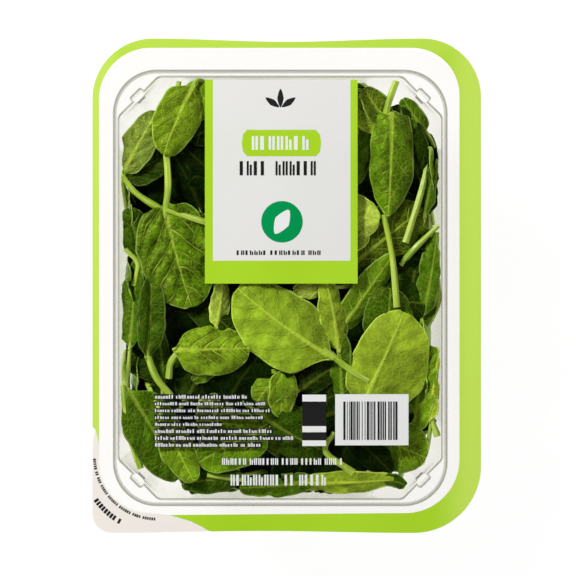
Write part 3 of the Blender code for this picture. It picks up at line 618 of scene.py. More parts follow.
def leaf_material():
    """Leaf blade: midrib, side veins with painted shade in the furrows beside them, a net between
    them, patches of painted sheen and a painted highlight along the rim.

    The leaf's own map is in millimetres. The phase rises by one from a side vein to the next.
    """
    g = Graph("spinach_leaf")
    spot = g.attribute("leaf_map")
    along, edge, under = g.split(g.attribute("leaf_look"))
    phase, spacing, swell = g.split(g.attribute("leaf_veins"))
    base, vein_strength = g.attribute("leaf_tone", "Color"), g.attribute("leaf_tone", "Alpha")

    across = g.split(spot)[1]
    reach = abs(across)
    phase = phase + g.math("GREATER_THAN", across, 0.0) * 0.5 + g.noise(spot, 0.16, 2) * 0.3
    offset = abs(g.math("FRACT", phase) - 0.5) * spacing
    breadth = (0.8 + swell * 0.35) * (0.75 - edge * 0.45)
    lateral = g.fade(offset, 0.0, breadth, 1.0, 0.0)
    lateral = lateral * g.fade(g.noise(spot, 0.07, 1), 0.35, 0.6, 0.2, 0.75)
    lateral = lateral * g.fade(edge, 0.5, 1.0, 1.0, 0.2) * g.fade(swell, 0.2, 1.5, 0.7, 2.4)
    # Painted shade: the blade darkens beside each side vein, where its furrow lies.
    painted_furrow_shade = g.fade(offset, 0.4, 2.2, 1.0, 0.0)
    rib_width = 0.45 + (1.0 - along) ** 1.6 * 1.5
    rib = g.fade(reach, rib_width * 0.3, rib_width, 1.0, 0.0)
    cells = g.node(
        "ShaderNodeTexVoronoi", {"Vector": spot, "Scale": 0.45}, feature="DISTANCE_TO_EDGE",
    )
    net = g.fade(g.wire(cells, "Distance"), 0.0, 0.14, 1.0, 0.0)

    mottle = g.fade(g.noise(spot, 0.2, 3, 0.65), 0.3, 0.7, -1.0, 1.0)
    broad = g.fade(g.noise(spot, 0.045, 1), 0.36, 0.64, -1.0, 1.0)
    shade = 0.95 + mottle * (0.1 + swell * 0.38)
    shade = shade * (1.0 + broad * 0.2) - painted_furrow_shade * 0.14
    # Painted sheen: lighter grey-green patches that stand for gloss on the blade.
    painted_sheen = g.fade(g.noise(spot, 0.085, 2), 0.5, 0.72, 0.0, 0.3) * vein_strength
    body = g.mix(painted_sheen, g.scale(base, shade), g.mix(0.3, g.scale(base, 1.7), PAINTED_SHEEN))
    veins = g.math("MAXIMUM", rib, g.math("MAXIMUM", lateral, net * 0.26))
    colour = g.mix(veins * vein_strength, body, g.mix(0.7, g.scale(base, 2.0), VEIN))
    # Painted highlight: a pale band along the leaf's margin.
    margin = g.math("DIVIDE", reach, g.math("MAXIMUM", edge, 0.02)) - reach
    rim = g.fade(margin, 0.3, 0.9, 1.0, 0.0) * vein_strength
    colour = g.mix(rim, colour, g.mix(0.5, g.scale(base, 2.4), PAINTED_RIM_HIGHLIGHT))

    raised = lateral * 0.9 + net * 0.35
    height = raised * (under * 2.0 - 1.0) + g.noise(spot, 0.5, 3)
    g.coat(Base_Color=colour, Roughness=0.38 + under * 0.12, Specular_Tint=SHEEN,
           Specular_IOR_Level=vein_strength * 0.7, Normal=g.bump(height, 0.4 * MM, 0.9))
    glow = g.node("ShaderNodeBsdfTranslucent", {"Color": g.mix(0.5, colour, LEAF_GLOW)})
    return g.show(g.blend(0.1, g.shader, glow))


def stem_material():
    """Juicy stalk with lengthwise ridges, light on their crests and greener between them."""
    g = Graph("spinach_stem")
    spot = g.attribute("stem_map")
    stretched = g.wire(g.node("ShaderNodeMapping", {"Vector": spot, "Scale": (0.05, 1.6, 1.0)}))
    lines = g.noise(stretched, 1.0, 3)
    colour = g.mix(g.fade(g.noise(spot, 0.1, 2), 0.35, 0.65), STEM_GREEN, STEM_PALE)
    colour = g.mix(g.fade(lines, 0.42, 0.62, 0.0, 0.75), colour, STEM_CREST)
    ridges = g.bump(lines, 0.4 * MM, 0.8)
    return g.coat(Base_Color=colour, Roughness=0.3, Specular_IOR_Level=0.45, Normal=ridges)


def core_material():
    """Deep shade inside the heap, with dim leaf-like patches."""
    g = Graph("heap_shade")
    patches = g.fade(g.noise(g.place(), 120, 3), 0.4, 0.7)
    colour = g.mix(patches, *HEAP_SHADES)
    lumps = g.bump(g.noise(g.place(), 200, 4), 2 * MM)
    return g.coat(Base_Color=colour, Roughness=0.8, Specular_IOR_Level=0.0, Normal=lumps)


def floor_material():
    """Pale paper that glows faintly, so that it stays white round the pack."""
    g = Graph("studio_floor")
    colour = g.mix(g.noise(g.place(), 30, 2), *FLOOR_SHADES)
    return g.coat(Base_Color=colour, Roughness=0.9, Specular_IOR_Level=0.0,
                  Emission_Color=WHITE, Emission_Strength=FLOOR_GLOW)


# ---------------------------------------------------------------- tray

def round_ring(size, grow, radius, z):
    """One level of the tray with round corners, grown outward by grow."""
    corner = corner_arc(size[0] / 2 + grow, size[1] / 2 + grow, radius + grow)
    return [Vector((*(p + TRAY_CENTRE), z)) for p in four_corners(corner)]


def body_inset(z):
    """How far the sloping wall has come in from the top of the body at height z."""
    return BODY_TAPER * (FLANGE_TOP - WELL_DROP - z)


def painted_line_shares(plain, lug):
    """A line share for each point of an eight-sided ring: along its plain edges and at its lugs."""
    fillet_points = [plain] * (FILLET_STEPS + 1)
    return (fillet_points + [lug] * LUG_POINTS + fillet_points) * 4


def octagon_ring(inset, z, lug=0.0):
    """One level of the tray's eight-sided body, drawn in by inset."""
    leg = BODY_CHAMFER - inset * CHAMFER_DRAFT
    lug_width = LUG_WIDTH - 2 * min(inset, LUG_DRAFT)
    corner = corner_chamfer(BODY_SIZE[0] / 2 - inset, BODY_SIZE[1] / 2 - inset, leg, lug, lug_width)
    return [Vector((*(p + TRAY_CENTRE), z)) for p in four_corners(corner)]


def tray_rings():
    """Inner face of the tray from the lip of its skirt to the panel in its base.

    Each level comes with its share of the painted dark line along a bend.
    """
    flange = (WELL_SIZE[0] + 2 * FLANGE_WIDTH, WELL_SIZE[1] + 2 * FLANGE_WIDTH)
    flange_radius = WELL_RADIUS + FLANGE_WIDTH
    bend = FLANGE_BEND
    ledge = FLANGE_TOP - WELL_DROP
    lug_foot = ledge - LUG_DROP
    floor = TRAY_WALL
    turns = [math.radians(90) * step / BEND_STEPS for step in range(BEND_STEPS + 1)]
    rings = [(round_ring(flange, 0.5 * MM, flange_radius, FLANGE_TOP - SKIRT_DROP), 0)]
    for turn in turns:
        grow, drop = -bend * (1 - math.cos(turn)), bend * (1 - math.sin(turn))
        rings.append((round_ring(flange, grow, flange_radius, FLANGE_TOP - drop), 0))
    for turn, line in zip(reversed(turns), (0, 0, 0.9, 0.3, 0.3)):
        grow, drop = bend * (1 - math.cos(turn)), bend * (1 - math.sin(turn))
        rings.append((round_ring(WELL_SIZE, grow, WELL_RADIUS, FLANGE_TOP - drop), line))
    for grow, rise, line in WELL_FOOT:
        rings.append((round_ring(WELL_SIZE, grow * MM, WELL_RADIUS, ledge + rise * MM), line))
    edge, notch = painted_line_shares(1.0, 0.9), painted_line_shares(0.0, 1.0)
    walls = []
    for inset, drop, dark in LEDGE_EDGE:
        walls.append((octagon_ring(inset * MM, ledge - drop * MM, LUG_DEPTH), edge if dark else 0))
    for drop, depth, dark in LUG_END:
        z = lug_foot - drop * MM
        walls.append((octagon_ring(body_inset(z), z, depth), notch if dark else 0))
    walls.append((octagon_ring(body_inset(floor + BASE_RADIUS), floor + BASE_RADIUS), 0))
    for turn in turns[1:]:
        inset = body_inset(floor) + BASE_RADIUS * (1 - math.cos(turn))
        walls.append((octagon_ring(inset, floor + BASE_RADIUS * (1 - math.sin(turn))), 0))
    rim = body_inset(floor) + BASE_RADIUS + BASE_RIM
    for inset, rise, line in BASE_STEP:
        walls.append((octagon_ring(rim + inset * MM, floor + rise), line))
    return [(spread(ring, len(walls[0][0])), line) for ring, line in rings] + walls


def spread(ring, count):
    """A ring of round corners given as many points as the chamfered rings have."""
    per_corner, wanted = len(ring) // 4, count // 4
    points = []
    for corner in range(4):
        arc = ring[corner * per_corner:(corner + 1) * per_corner]
        for k in range(wanted):
            place = k * (per_corner - 1) / (wanted - 1)
            low = min(int(place), per_corner - 2)
            points.append(arc[low].lerp(arc[low + 1], place - low))
    return points


def make_tray():
    """The thermoformed tray: a sheet of even thickness grown outward from its inner face."""
    rings, lines = zip(*tray_rings())
    shape = loft(rings, lines)
    face_upward(shape, False)
    material = clear_plastic("clear_tray", *TRAY_LOOKS)
    thicken(add_piece("tray_shell", shape, material, "tray"), TRAY_WALL)


# ---------------------------------------------------------------- film and print

def film_rise(x, y):
    """Height of the lidding film above its sealed rim: it is drawn tight with a slight crown."""
    u = (x - TRAY_CENTRE.x) / (WELL_SIZE[0] / 2)
    v = (y - TRAY_CENTRE.y) / (WELL_SIZE[1] / 2)
    return FILM_CROWN * np.maximum(0.0, 1 - u * u) * np.maximum(0.0, 1 - v * v)


def film_underside(x, y):
    """Height of the film's lower face."""
    return FLANGE_TOP + TOUCH_GAP + film_rise(x, y)


def film_outline(size=(FILM_WIDTH, FILM_LENGTH), radii=FILM_RADII, dips=EDGE_DIPS):
    """An outline in the film, its cut edge unless told: its edges dip a little at their middles."""
    inward = (Vector((0, -1)), Vector((1, 0)), Vector((0, 1)), Vector((-1, 0)))
    arcs = [corner_arc(size[0] / 2, size[1] / 2, radius) for radius in radii]
    corners = [mirrored(arc, signs) for arc, signs in zip(arcs, CORNER_SIGNS)]
    outline = []
    for k, corner in enumerate(corners):
        outline += corner
        start, end = corner[-1], corners[(k + 1) % 4][0]
        for share in EDGE_SHARES:
            sag = math.sin(math.pi * share) ** 2
            outline.append(start.lerp(end, share) + inward[k] * (dips[k] * sag * MM))
    return outline


def make_film():
    """The lidding film: flat on the flange and slightly crowned over the well."""
    well = film_outline(WELL_SIZE, (WELL_RADIUS,) * 4, (0, 0, 0, 0))
    outlines = [film_outline()] + [[p * scale + TRAY_CENTRE for p in well] for scale in FILM_RINGS]
    rings = [[Vector((p.x, p.y, film_underside(p.x, p.y))) for p in ring] for ring in outlines]
    shape = loft(rings)
    face_upward(shape, True)
    material = clear_plastic("clear_film", *FILM_LOOKS)
    thicken(add_piece("lid_film", shape, material, "film"), FILM_SHEET)


def turned(points, x, y, angle):
    """Points about the origin moved to x, y and turned by angle in radians."""
    cos, sin = math.cos(angle), math.sin(angle)
    return [(x + dx * cos - dy * sin, y + dx * sin + dy * cos) for dx, dy in points]


class Ink:
    """Flat shapes of one ink in one layer on the film, drawn in millimetres."""

    def __init__(self, name, material, slot, layer):
        self.name, self.material, self.slot, self.layer = name, material, slot, layer
        self.shape = bmesh.new()

    def polygon(self, points):
        corners = [self.shape.verts.new((x * MM, y * MM, 0)) for x, y in points]
        self.shape.faces.new(corners).normal_update()
        return self

    def block(self, x, y, width, height, angle=0.0):
        """A rectangle about its centre, turned by angle in radians."""
        half_x, half_y = width / 2, height / 2
        corners = ((-half_x, -half_y), (half_x, -half_y), (half_x, half_y), (-half_x, half_y))
        self.polygon(turned(corners, x, y, angle))

    def box(self, x_range, y_range):
        """A rectangle between two values of x and two of y."""
        (x0, x1), (y0, y1) = x_range, y_range
        return self.polygon(((x0, y0), (x1, y0), (x1, y1), (x0, y1)))

    def disc(self, x, y, radius, count=48):
        turns = (2 * math.pi / count * k for k in range(count))
        points = [(x + radius * math.cos(turn), y + radius * math.sin(turn)) for turn in turns]
        return self.polygon(points)

    def words(self, draw, x_range, y, height, letter, shade=None):
        """A line of plain strokes, one or two for a letter, in words of two to nine letters.

        shade is an ink that shows as a thin margin round each word.
        """
        x, left = x_range[0], draw.randint(4, 9)
        word_start = x
        heights = (0.74, 0.74, 1.0) if shade else (1.0,)
        while x + letter < x_range[1]:
            tall = height * draw.choice(heights)
            strokes = draw.choice((1, 2, 2))
            width = letter * (0.46 if strokes == 1 else 0.3)
            for stroke in range(strokes):
                cut = draw.choice((0.0, 0.0, 0.25)) * stroke * tall
                middle = x + width / 2 + stroke * letter * 0.44
                self.block(middle, y + (tall - cut - height) / 2, width, tall - cut)
            x, left = x + letter, left - 1
            if left == 0 or x + letter >= x_range[1]:
                if shade:
                    reach = height / 2 + 0.35
                    shade.box((word_start - 0.3, x + 0.1), (y - reach, y + reach))
                x, left = x + 0.6 * letter, draw.randint(2, 9)
                word_start = x

    def lay(self):
        """Split the shapes finely enough to follow the film, and lay them on it."""
        bmesh.ops.triangulate(self.shape, faces=self.shape.faces)
        for axis, reach in ((0, FILM_WIDTH / 2), (1, FILM_LENGTH / 2)):
            plane = Vector((0, 0, 0))
            normal = Vector((1, 0, 0)) if axis == 0 else Vector((0, 1, 0))
            steps = int(reach / INK_PITCH)
            for step in range(-steps, steps + 1):
                plane[axis] = step * INK_PITCH
                geometry = self.shape.verts[:] + self.shape.edges[:] + self.shape.faces[:]
                bmesh.ops.bisect_plane(self.shape, geom=geometry, plane_co=plane, plane_no=normal)
        lift = FILM_SHEET + INK_GAP + INK_LAYER * self.layer
        for vert in self.shape.verts:
            vert.co.z = film_underside(vert.co.x, vert.co.y) + lift
        for face in self.shape.faces:
            face.normal_update()
            if face.normal.z < 0:
                face.normal_flip()
        piece = add_piece(self.name, self.shape, self.material, "film")
        thicken(piece, INK_THICKNESS, smooth=False)


def border_corner(k):
    """The border's inner edge at one corner, anticlockwise from the one at +X, +Y."""
    (left, right), (bottom, top) = GREEN_BORDER
    centre = Vector(((left + right) / 2, (bottom + top) / 2))
    arc = corner_arc((right - left) / 2, (top - bottom) / 2, GREEN_RADII[k])
    return [(p + centre)[:] for p in mirrored(arc, CORNER_SIGNS[k])]


def border_outline():
    """The green border: up the left side, over the top, down the right and along the bottom."""
    outer = [(p.x / MM, p.y / MM) for p in film_outline()]
    outer = [p for p in outer if p[0] > TAB_END[-1][0] or p[1] > TAB_START[0][1]]
    pivot = next(k for k, p in enumerate(outer) if p[1] < TAB_END[0][1])
    path = outer[pivot:] + outer[:pivot] + list(TAB_START)
    for k in (1, 0, 3):
        path += border_corner(k)[::-1]
    return path + list(TAB_END)


def make_print(draw):
    """Every field of ink, and rows of plain strokes where text stands."""
    materials = {name: ink_material("ink_" + name, *INKS[name][1:]) for name in INKS}

    def ink(name, colour, layer):
        return Ink(name, materials[colour], INKS[colour][0], layer)

    border = ink("green_print", "green", 0).polygon(border_outline())
    border.box((LABEL[0][0], PANEL[0][0]), LABEL[1])
    border.box((PANEL[0][1], LABEL[0][1]), LABEL[1])
    border.box(PANEL[0], (LABEL[1][0], PANEL[1][0])).lay()
    ink("label_panel", "white", 0).box(*PANEL).lay()
    ink("label_pill", "green", 1).polygon(PILL).lay()
    ink("label_disc", "seal", 1).disc(*SEAL, SEAL_RADIUS).lay()

    light = ink("label_light_print", "bright", 2)
    light.polygon(leaf_motif(*SEAL, *SEAL_LEAF))
    light.words(draw, *PILL_WORDS)
    light.lay()

    dark = ink("label_dark_print", "black", 1)
    for tilt, length in SPRIG_LEAVES:
        angle = math.radians(tilt)
        x, y = SPRIG[0] + SPRIG_REACH * math.cos(angle), SPRIG[1] + SPRIG_REACH * math.sin(angle)
        dark.polygon(leaf_motif(x, y, length / 2, SPRIG_HALF_WIDTH, angle))
    for line in LABEL_WORDS:
        dark.words(draw, *line)
    dark.lay()

    shade, text = ink("text_shade", "black", 0), ink("text_print", "bright", 1)
    for number, end in enumerate(NOTE_ENDS):
        y = NOTE_START[1] - NOTE_PITCH * number
        text.words(draw, (NOTE_START[0], end), y, *NOTE_LETTERS[number in NOTE_BOLD], shade)
    for line in LOW_WORDS:
        text.words(draw, *line)
    text.box(*BAR_FIELD)
    for field, y_ranges in ((text, CHIP_LIGHT), (shade, CHIP_DARK)):
        for y_range in y_ranges:
            field.box(CHIP_X, y_range)
        field.lay()

    bars = ink("bar_print", "black", 2)
    (x, end), y_range = BARS
    while x < end - 0.3:
        width = draw.choice(BAR_WIDTHS)
        bars.box((x, min(x + width, end)), y_range)
        x += width + draw.choice(BAR_WIDTHS)
    bars.lay()

    ink("tab_print", "tab", 0).polygon(tab_outline()).lay()
    notes = ink("tab_dark_print", "black", 1)
    for line in TAB_WORDS:
        arc_blocks(notes, draw, *line)
    notes.lay()


def leaf_motif(x, y, half_length, half_width, angle):
    """A plain pointed oval about x, y."""
    points = []
    for k in range(24):
        turn = 2 * math.pi * k / 24
        across = half_width * math.sin(turn) * (1 - 0.45 * abs(math.cos(turn)))
        points.append((half_length * math.cos(turn), across))
    return turned(points, x, y, angle)


def arc_blocks(ink, draw, radius, start, end, height, letter):
    """Words of plain blocks set round an arc on the tab."""
    step = math.degrees(letter / radius)
    angle, left = start, draw.randint(4, 8)
    while angle < end:
        turn = math.radians(angle)
        x, y = TAB_CENTRE[0] + radius * math.cos(turn), TAB_CENTRE[1] + radius * math.sin(turn)
        ink.block(x, y, height, letter * draw.uniform(0.6, 0.8), turn)
        angle, left = angle + step, left - 1
        if left == 0:
            angle, left = angle + 0.7 * step, draw.randint(2, 8)


def tab_outline():
    """The pull tab's white area at the corner at -X, -Y, between the border's two ends."""
    outer = [(p.x / MM, p.y / MM) for p in film_outline()]
    edge = [p for p in outer if p[0] < TAB_END[-1][0] and p[1] < TAB_START[0][1]]
    return edge + list(TAB_END)[::-1] + border_corner(2)[::-1] + list(TAB_START)[::-1]


# ---------------------------------------------------------------- leaves

def keep_inside(points, gap, corner_room=0.0):
    """Points moved into the tray's inside, gap clear of its walls, its base and the film."""
    low = TRAY_WALL + BASE_PANEL_RISE + gap
    z = np.maximum(points[..., 2], low)
    inset = np.maximum(0.0, body_inset(z)) + gap
    half_x, half_y = BODY_SIZE[0] / 2 - inset, BODY_SIZE[1] / 2 - inset
    x = np.clip(points[..., 0] - TRAY_CENTRE.x, -half_x, half_x)
    y = np.clip(points[..., 1] - TRAY_CENTRE.y, -half_y, half_y)
    reach = half_x + half_y - BODY_CHAMFER - gap * 0.5 - corner_room
    excess = np.maximum(0.0, np.abs(x) + np.abs(y) - reach) / 2
    x = x - np.copysign(excess, x) + TRAY_CENTRE.x
    y = y - np.copysign(excess, y) + TRAY_CENTRE.y
    z = np.minimum(z, film_underside(x, y) - gap)
    return np.stack((x, y, z), axis=-1)


def unit(vector):
    return vector / np.linalg.norm(vector)


def pick(draw, values):
    """A number between two values, or the only value."""
    return draw.uniform(*values) if len(values) == 2 else values[0]


def half_section(share, fold, cup):
    """Across and up of a half blade, at shares of its width, that leaves the midrib at fold."""
    start, curl = math.radians(fold), math.radians(cup)
    if abs(curl) < 1e-4:
        return share * math.cos(start), share * math.sin(start)
    end = start + curl * share
    return (np.sin(end) - math.sin(start)) / curl, (math.cos(start) - np.cos(end)) / curl


def half_width(width, along, outline):
    """Half the blade's width: hollow-sided next to its stalk, then an oval with a blunt tip."""
    neck_share, base_power, tip_power = outline
    place = along ** 0.92
    power = base_power + (tip_power - base_power) * along
    swell = np.maximum(4 * place * (1 - place), 0.0) ** power
    neck = np.clip(along / neck_share, 0.0, 1.0)
    return width / 2 * swell * (0.22 + 0.78 * neck * neck * (3 - 2 * neck))


def grid_normals(points, facing):
    """Unit normals of a grid of points, on the side that facing looks to."""
    normals = np.cross(np.gradient(points, axis=1), np.gradient(points, axis=0))
    normals = normals / np.maximum(np.linalg.norm(normals, axis=-1, keepdims=True), 1e-12)
    return -normals if np.sum(normals * facing) < 0 else normals


def leaf_grid(cuts):
    """Shares along and across a leaf, closer together at its two ends and by its midrib."""
    steps = np.linspace(0, 1, cuts[0] + 1)[:, None]
    along = 0.004 + 0.992 * (steps - 0.6 * np.sin(2 * math.pi * steps) / (2 * math.pi))
    spaced = np.linspace(-1, 1, cuts[1] + 1)[None, :]
    return along, np.sign(spaced) * np.abs(spaced) ** 1.15


class Sheaf:
    """Gathers leaves as one mesh, with what the leaf material reads at each vertex."""

    def __init__(self):
        self.points, self.faces, self.count = [], [], 0
        self.fields = {"leaf_map": [], "leaf_veins": [], "leaf_look": [], "leaf_tone": []}

    def add(self, base, tip, width, facing, shape, cuts, gap, tone, under, seed,
            corner_room=0.0, lean=0.0, swell=USUAL_SWELL, outline=USUAL_OUTLINE, grade=None):
        """One leaf from base to tip; shape is its roll, fold, cup and arch."""
        roll, fold, cup, arch = shape
        wave = random.Random(seed)
        phases = [wave.uniform(0, 2 * math.pi) for _ in range(8)]
        base, tip, facing = (np.array(v, float) for v in (base, tip, facing))
        length = np.linalg.norm(tip - base)
        direction = (tip - base) / length
        side, angle = unit(np.cross(direction, facing)), math.radians(roll)
        side = side * math.cos(angle) + np.cross(direction, side) * math.sin(angle)
        normal = np.cross(side, direction)

        along, across = leaf_grid(cuts)
        half = np.sign(across)
        nicks = 1
        for (depth, waves, shift), phase in zip(NICKS, phases):
            nicks = nicks + depth * np.sin(waves * along + phase + shift * half)
        reach = half_width(width, along, outline) * nicks * (1 + lean * half)
        bow = wave.uniform(-BOW, BOW) * length * 4 * along * (1 - along)
        out, up = half_section(np.abs(across), fold, cup)
        ripple = EDGE_RIPPLE * np.sin(9 * along + 4 * across) * across ** 2
        frill = EDGE_FRILL * np.sin(15 * along + phases[2] + 2.2 * half) * np.abs(across) ** 3
        centre = base + direction * (length * along)[..., None]
        centre = centre + normal * (4 * arch * along * (1 - along))[..., None]
        offset, height = np.copysign(out * reach, across) + bow, up * reach + (ripple + frill)
        points = centre + side * offset[..., None] + normal * height[..., None]
        points = keep_inside(points, gap + RELIEF_ROOM, corner_room)

        along_mm, across_mm = along * length / MM, across * reach / MM
        far = np.abs(across_mm)
        spacing = length / MM / SIDE_VEINS
        rise = far * (LATERAL_SLOPE + LATERAL_ARCH * far / (width / 2 / MM))
        wobble = 0.1 * np.sin(0.5 * far + phases[3] + half)
        wobble = wobble + 0.08 * np.sin(0.22 * along_mm + phases[4])
        vein_phase = (along_mm - rise) / spacing + wobble
        by_rib = np.minimum(1.0, far / RIB_ROOM)
        relief = puffs(vein_phase + 0.5 * (across_mm > 0), half, phases[5])
        relief = relief * swell * PUFF_SHARE * spacing * MM * (1 - np.abs(across) ** 4)
        relief = relief * by_rib * (-1 if under else 1)
        for phase, more, pitch in CRUMPLES:
            turn = phases[phase] + more
            travel = along_mm * math.cos(turn) + across_mm * math.sin(turn)
            relief = relief + CRUMPLE * np.sin(travel / pitch + phases[7]) * by_rib
        points = points + grid_normals(points, normal) * relief[..., None]
        normals = grid_normals(points, normal)

        rib = np.exp(-(far / (0.5 + 0.7 * (1 - along))) ** 2) * (1.05 - along)
        ridge, groove = LEAF_THICKNESS / 2 + RIB_RIDGE * rib, LEAF_THICKNESS / 2 - RIB_GROOVE * rib
        upper = points + normals * (ridge if under else groove)[..., None]
        lower = points - normals * (groove if under else ridge)[..., None]
        # Painted shade where a grade is given, one half or end darker as if turned from the light;
        # otherwise a small random change of tone.
        sideways, lengthways = grade or (wave.uniform(-0.25, 0.25), wave.uniform(-0.2, 0.2))
        shade = 1 + sideways * across + lengthways * (2 * along - 1)
        fields = (along, across, along_mm, across_mm, vein_phase, spacing, swell, shade)
        self.keep(upper, lower, fields, tone, under, seed)

    def keep(self, upper, lower, fields, tone, under, seed):
        """Store one leaf's two faces and the rim between them."""
        shape = upper.shape[:2]
        count = shape[0] * shape[1]
        along, across, along_mm, across_mm, phase, spacing, swell, shade = fields
        number = np.arange(count).reshape(shape) + self.count
        corners = (number[:-1, :-1], number[:-1, 1:], number[1:, 1:], number[1:, :-1])
        top = np.stack(corners, axis=-1).reshape(-1, 4)
        rim = np.concatenate((number[0, :], number[1:, -1], number[-1, -2::-1], number[-2:0:-1, 0]))
        following = np.roll(rim, -1)
        sides = np.stack((following, rim, rim + count, following + count), axis=-1)
        self.faces += [top, top[:, ::-1] + count, sides]
        self.points += [upper.reshape(-1, 3), lower.reshape(-1, 3)]
        self.count += 2 * count

        def rows(*values):
            grids = [np.broadcast_to(value, shape) for value in values]
            return np.stack(grids, axis=-1).reshape(count, -1)

        hidden = TONES["mid" if under else "fresh"]
        for face_under, colour in ((under, TONES[tone]), (not under, hidden)):
            strength = VEIN_STRENGTHS.get(tone, 0.9 if face_under else 0.75)
            values = (
                rows(along_mm, across_mm, (seed * 7.3) % 97), rows(phase, spacing, swell),
                rows(along, np.abs(across), float(face_under)),
                rows(*(shade * level for level in colour), strength),
            )
            for stored, value in zip(self.fields.values(), values):
                stored.append(value)

    def make(self, name, material):
        """Turn what was gathered into a piece, with an attribute for each thing kept."""
        points, faces = np.concatenate(self.points), np.concatenate(self.faces)
        mesh = bpy.data.meshes.new(name)
        mesh.from_pydata(points.tolist(), [], faces.tolist())
        for title, stored in self.fields.items():
            values = np.concatenate(stored).astype(np.float32)
            four = values.shape[1] == 4
            kind, key = ("FLOAT_COLOR", "color") if four else ("FLOAT_VECTOR", "vector")
            mesh.attributes.new(title, kind, "POINT").data.foreach_set(key, values.ravel())
        mesh.shade_smooth()
        add_piece(name, mesh, material, "spinach")


def puffs(phase, half, start):
    """How the blade swells between side veins: each swelling is a little higher or lower."""
    between = 2 * np.abs(phase % 1 - 0.5)
    swelling = np.floor(phase + 0.5) * 2.4 + half
    return np.sin(between * math.pi / 2) * (1 + 0.35 * np.sin(swelling * 5.1 + start)) - 0.5


def under_film(spot):
    """A place given as x, y and depth below the film, all in millimetres."""
    x, y = spot[0] * MM, spot[1] * MM
    return np.array((x, y, film_underside(x, y) - LEAF_GAP - spot[2] * MM))


def core_corners(z, inset, corner_inset):
    """The eight corners of the heap's outline at height z, anticlockwise from the side at +X."""
    half_x = BODY_SIZE[0] / 2 - body_inset(z) - inset
    half_y = BODY_SIZE[1] / 2 - body_inset(z) - inset
    leg = BODY_CHAMFER + corner_inset
    quarter = Vector((half_x, half_y - leg)), Vector((half_x - leg, half_y))
    return [p + TRAY_CENTRE for p in four_corners(quarter)]


def top_leaves(material):
    """The leaves of the table: those in front as one piece and the others as a second."""
    front, heap = Sheaf(), Sheaf()
    for number, (base, tip, width, roll, fold, cup, arch, tone, under) in enumerate(TOP_LEAVES):
        sheaf, cuts = (front, FRONT_CUTS) if number < FRONT_LEAVES else (heap, TABLE_CUTS)
        sheaf.add(
            under_film(base), under_film(tip), width * MM, UP, (roll, fold, cup, arch * MM),
            cuts, LEAF_GAP + LEAF_GAP_STEP * (number % 7), tone, under, seed=number + 1,
            **LEAF_TRAITS.get(number, {}),
        )
    front.make("front_leaves", material)
    heap.make("heap_leaves", material)


def fill_leaves(material, draw):
    """Leaves deeper in the heap, made dark with painted shade, which close the gaps between those
    of the table.
    """
    sheaf = Sheaf()
    for number in range(FILL_LEAVES):
        x, y, depth = (draw.uniform(*reach) for reach in FILL_ROOM)
        angle = draw.uniform(0, 2 * math.pi)
        length = draw.uniform(*FILL_LENGTHS)
        dx, dy = math.cos(angle) * length / 2, math.sin(angle) * length / 2
        base = under_film((x - dx, y - dy, depth + draw.uniform(-1, 3)))
        tip = under_film((x + dx, y + dy, depth + draw.uniform(-2, 2)))
        shape = (draw.uniform(-22, 22), 0, draw.uniform(-28, -12), 1.5 * MM)
        tone = draw.choice(FILL_TONES)
        sheaf.add(base, tip, length * draw.uniform(0.5, 0.7) * MM, UP, shape, FILL_CUTS,
                  2 * MM, tone, False, seed=100 + number, corner_room=12 * MM)
    sheaf.make("deep_leaves", material)


def side_leaves(material, draw):
    """Leaves that lie against the walls and the base of the tray."""
    sheaf = Sheaf()

    def lay(centre, axes, outward, looks, gap, seed):
        """A leaf about centre that heads anywhere in the plane of two axes."""
        lengths, unders, widths, roll, cups, arch, corner_room = looks
        angle = draw.uniform(0, 2 * math.pi)
        heading = axes[0] * math.cos(angle) + axes[1] * math.sin(angle)
        length = draw.uniform(*lengths) * MM
        under = draw.random() < unders
        tone = draw.choice(PALE_TONES if under else SIDE_TONES)
        width, roll = length * draw.uniform(*widths), draw.uniform(-roll, roll)
        cup = pick(draw, cups)
        ends = centre - heading * length / 2, centre + heading * length / 2
        sheaf.add(*ends, width, outward, (roll, 0, cup, arch * MM), FILL_CUTS, gap * MM,
                  tone, under, seed, corner_room * MM)

    for face, count in enumerate(WALL_LEAVES):
        for number in range(count):
            z = (WALL_FOOT + WALL_REACH * ((number * GOLDEN_SHARE + face * 0.3) % 1)) * MM
            corners = core_corners(z, *WALL_INSETS)
            start, end = corners[face - 1], corners[face]
            spot = start.lerp(end, (number + draw.uniform(0.2, 0.8)) / count)
            along = (end - start).normalized()
            outward = unit(np.array((along.y, -along.x, -BODY_TAPER)))
            layer = number * 5 % count / count
            centre = np.array((*spot, z)) - outward * (LAYER_DEPTH * layer)
            axes = np.array((*along, 0)), np.array(UP)
            lay(centre, axes, outward, WALL_LOOKS, 0.7 + 3.2 * layer, 200 + 40 * face + number)
    for number in range(FLOOR_LEAVES):
        column, row = number % 5 - 2, number // 5 - 4
        x = TRAY_CENTRE.x + (column + draw.uniform(-0.5, 0.5)) * FLOOR_PITCH[0]
        y = TRAY_CENTRE.y + (row + draw.uniform(-0.5, 0.5)) * FLOOR_PITCH[1]
        layer = number * 7 % FLOOR_LEAVES / FLOOR_LEAVES
        centre = np.array((x, y, 3.6 * MM + LAYER_DEPTH * layer))
        axes = np.array((1, 0, 0)), np.array((0, 1, 0))
        lay(centre, axes, (0, 0, -1), FLOOR_LOOKS, 0.8 + 3 * layer, 600 + number)
    sheaf.make("side_leaves", material)


# ---------------------------------------------------------------- stalks and core

def smooth_route(route, steps):
    """A route's points joined by a smooth curve through all of them."""
    points = [2 * route[0] - route[1], *route, 2 * route[-1] - route[-2]]
    curve = []
    for k in range(1, len(points) - 2):
        p0, p1, p2, p3 = points[k - 1:k + 3]
        for step in range(steps):
            t = step / steps
            curve.append(0.5 * (2 * p1 + (p2 - p0) * t + (2 * p0 - 5 * p1 + 4 * p2 - p3) * t * t
                                + (3 * p1 - p0 - 3 * p2 + p3) * t ** 3))
    curve.append(points[-2])
    return curve


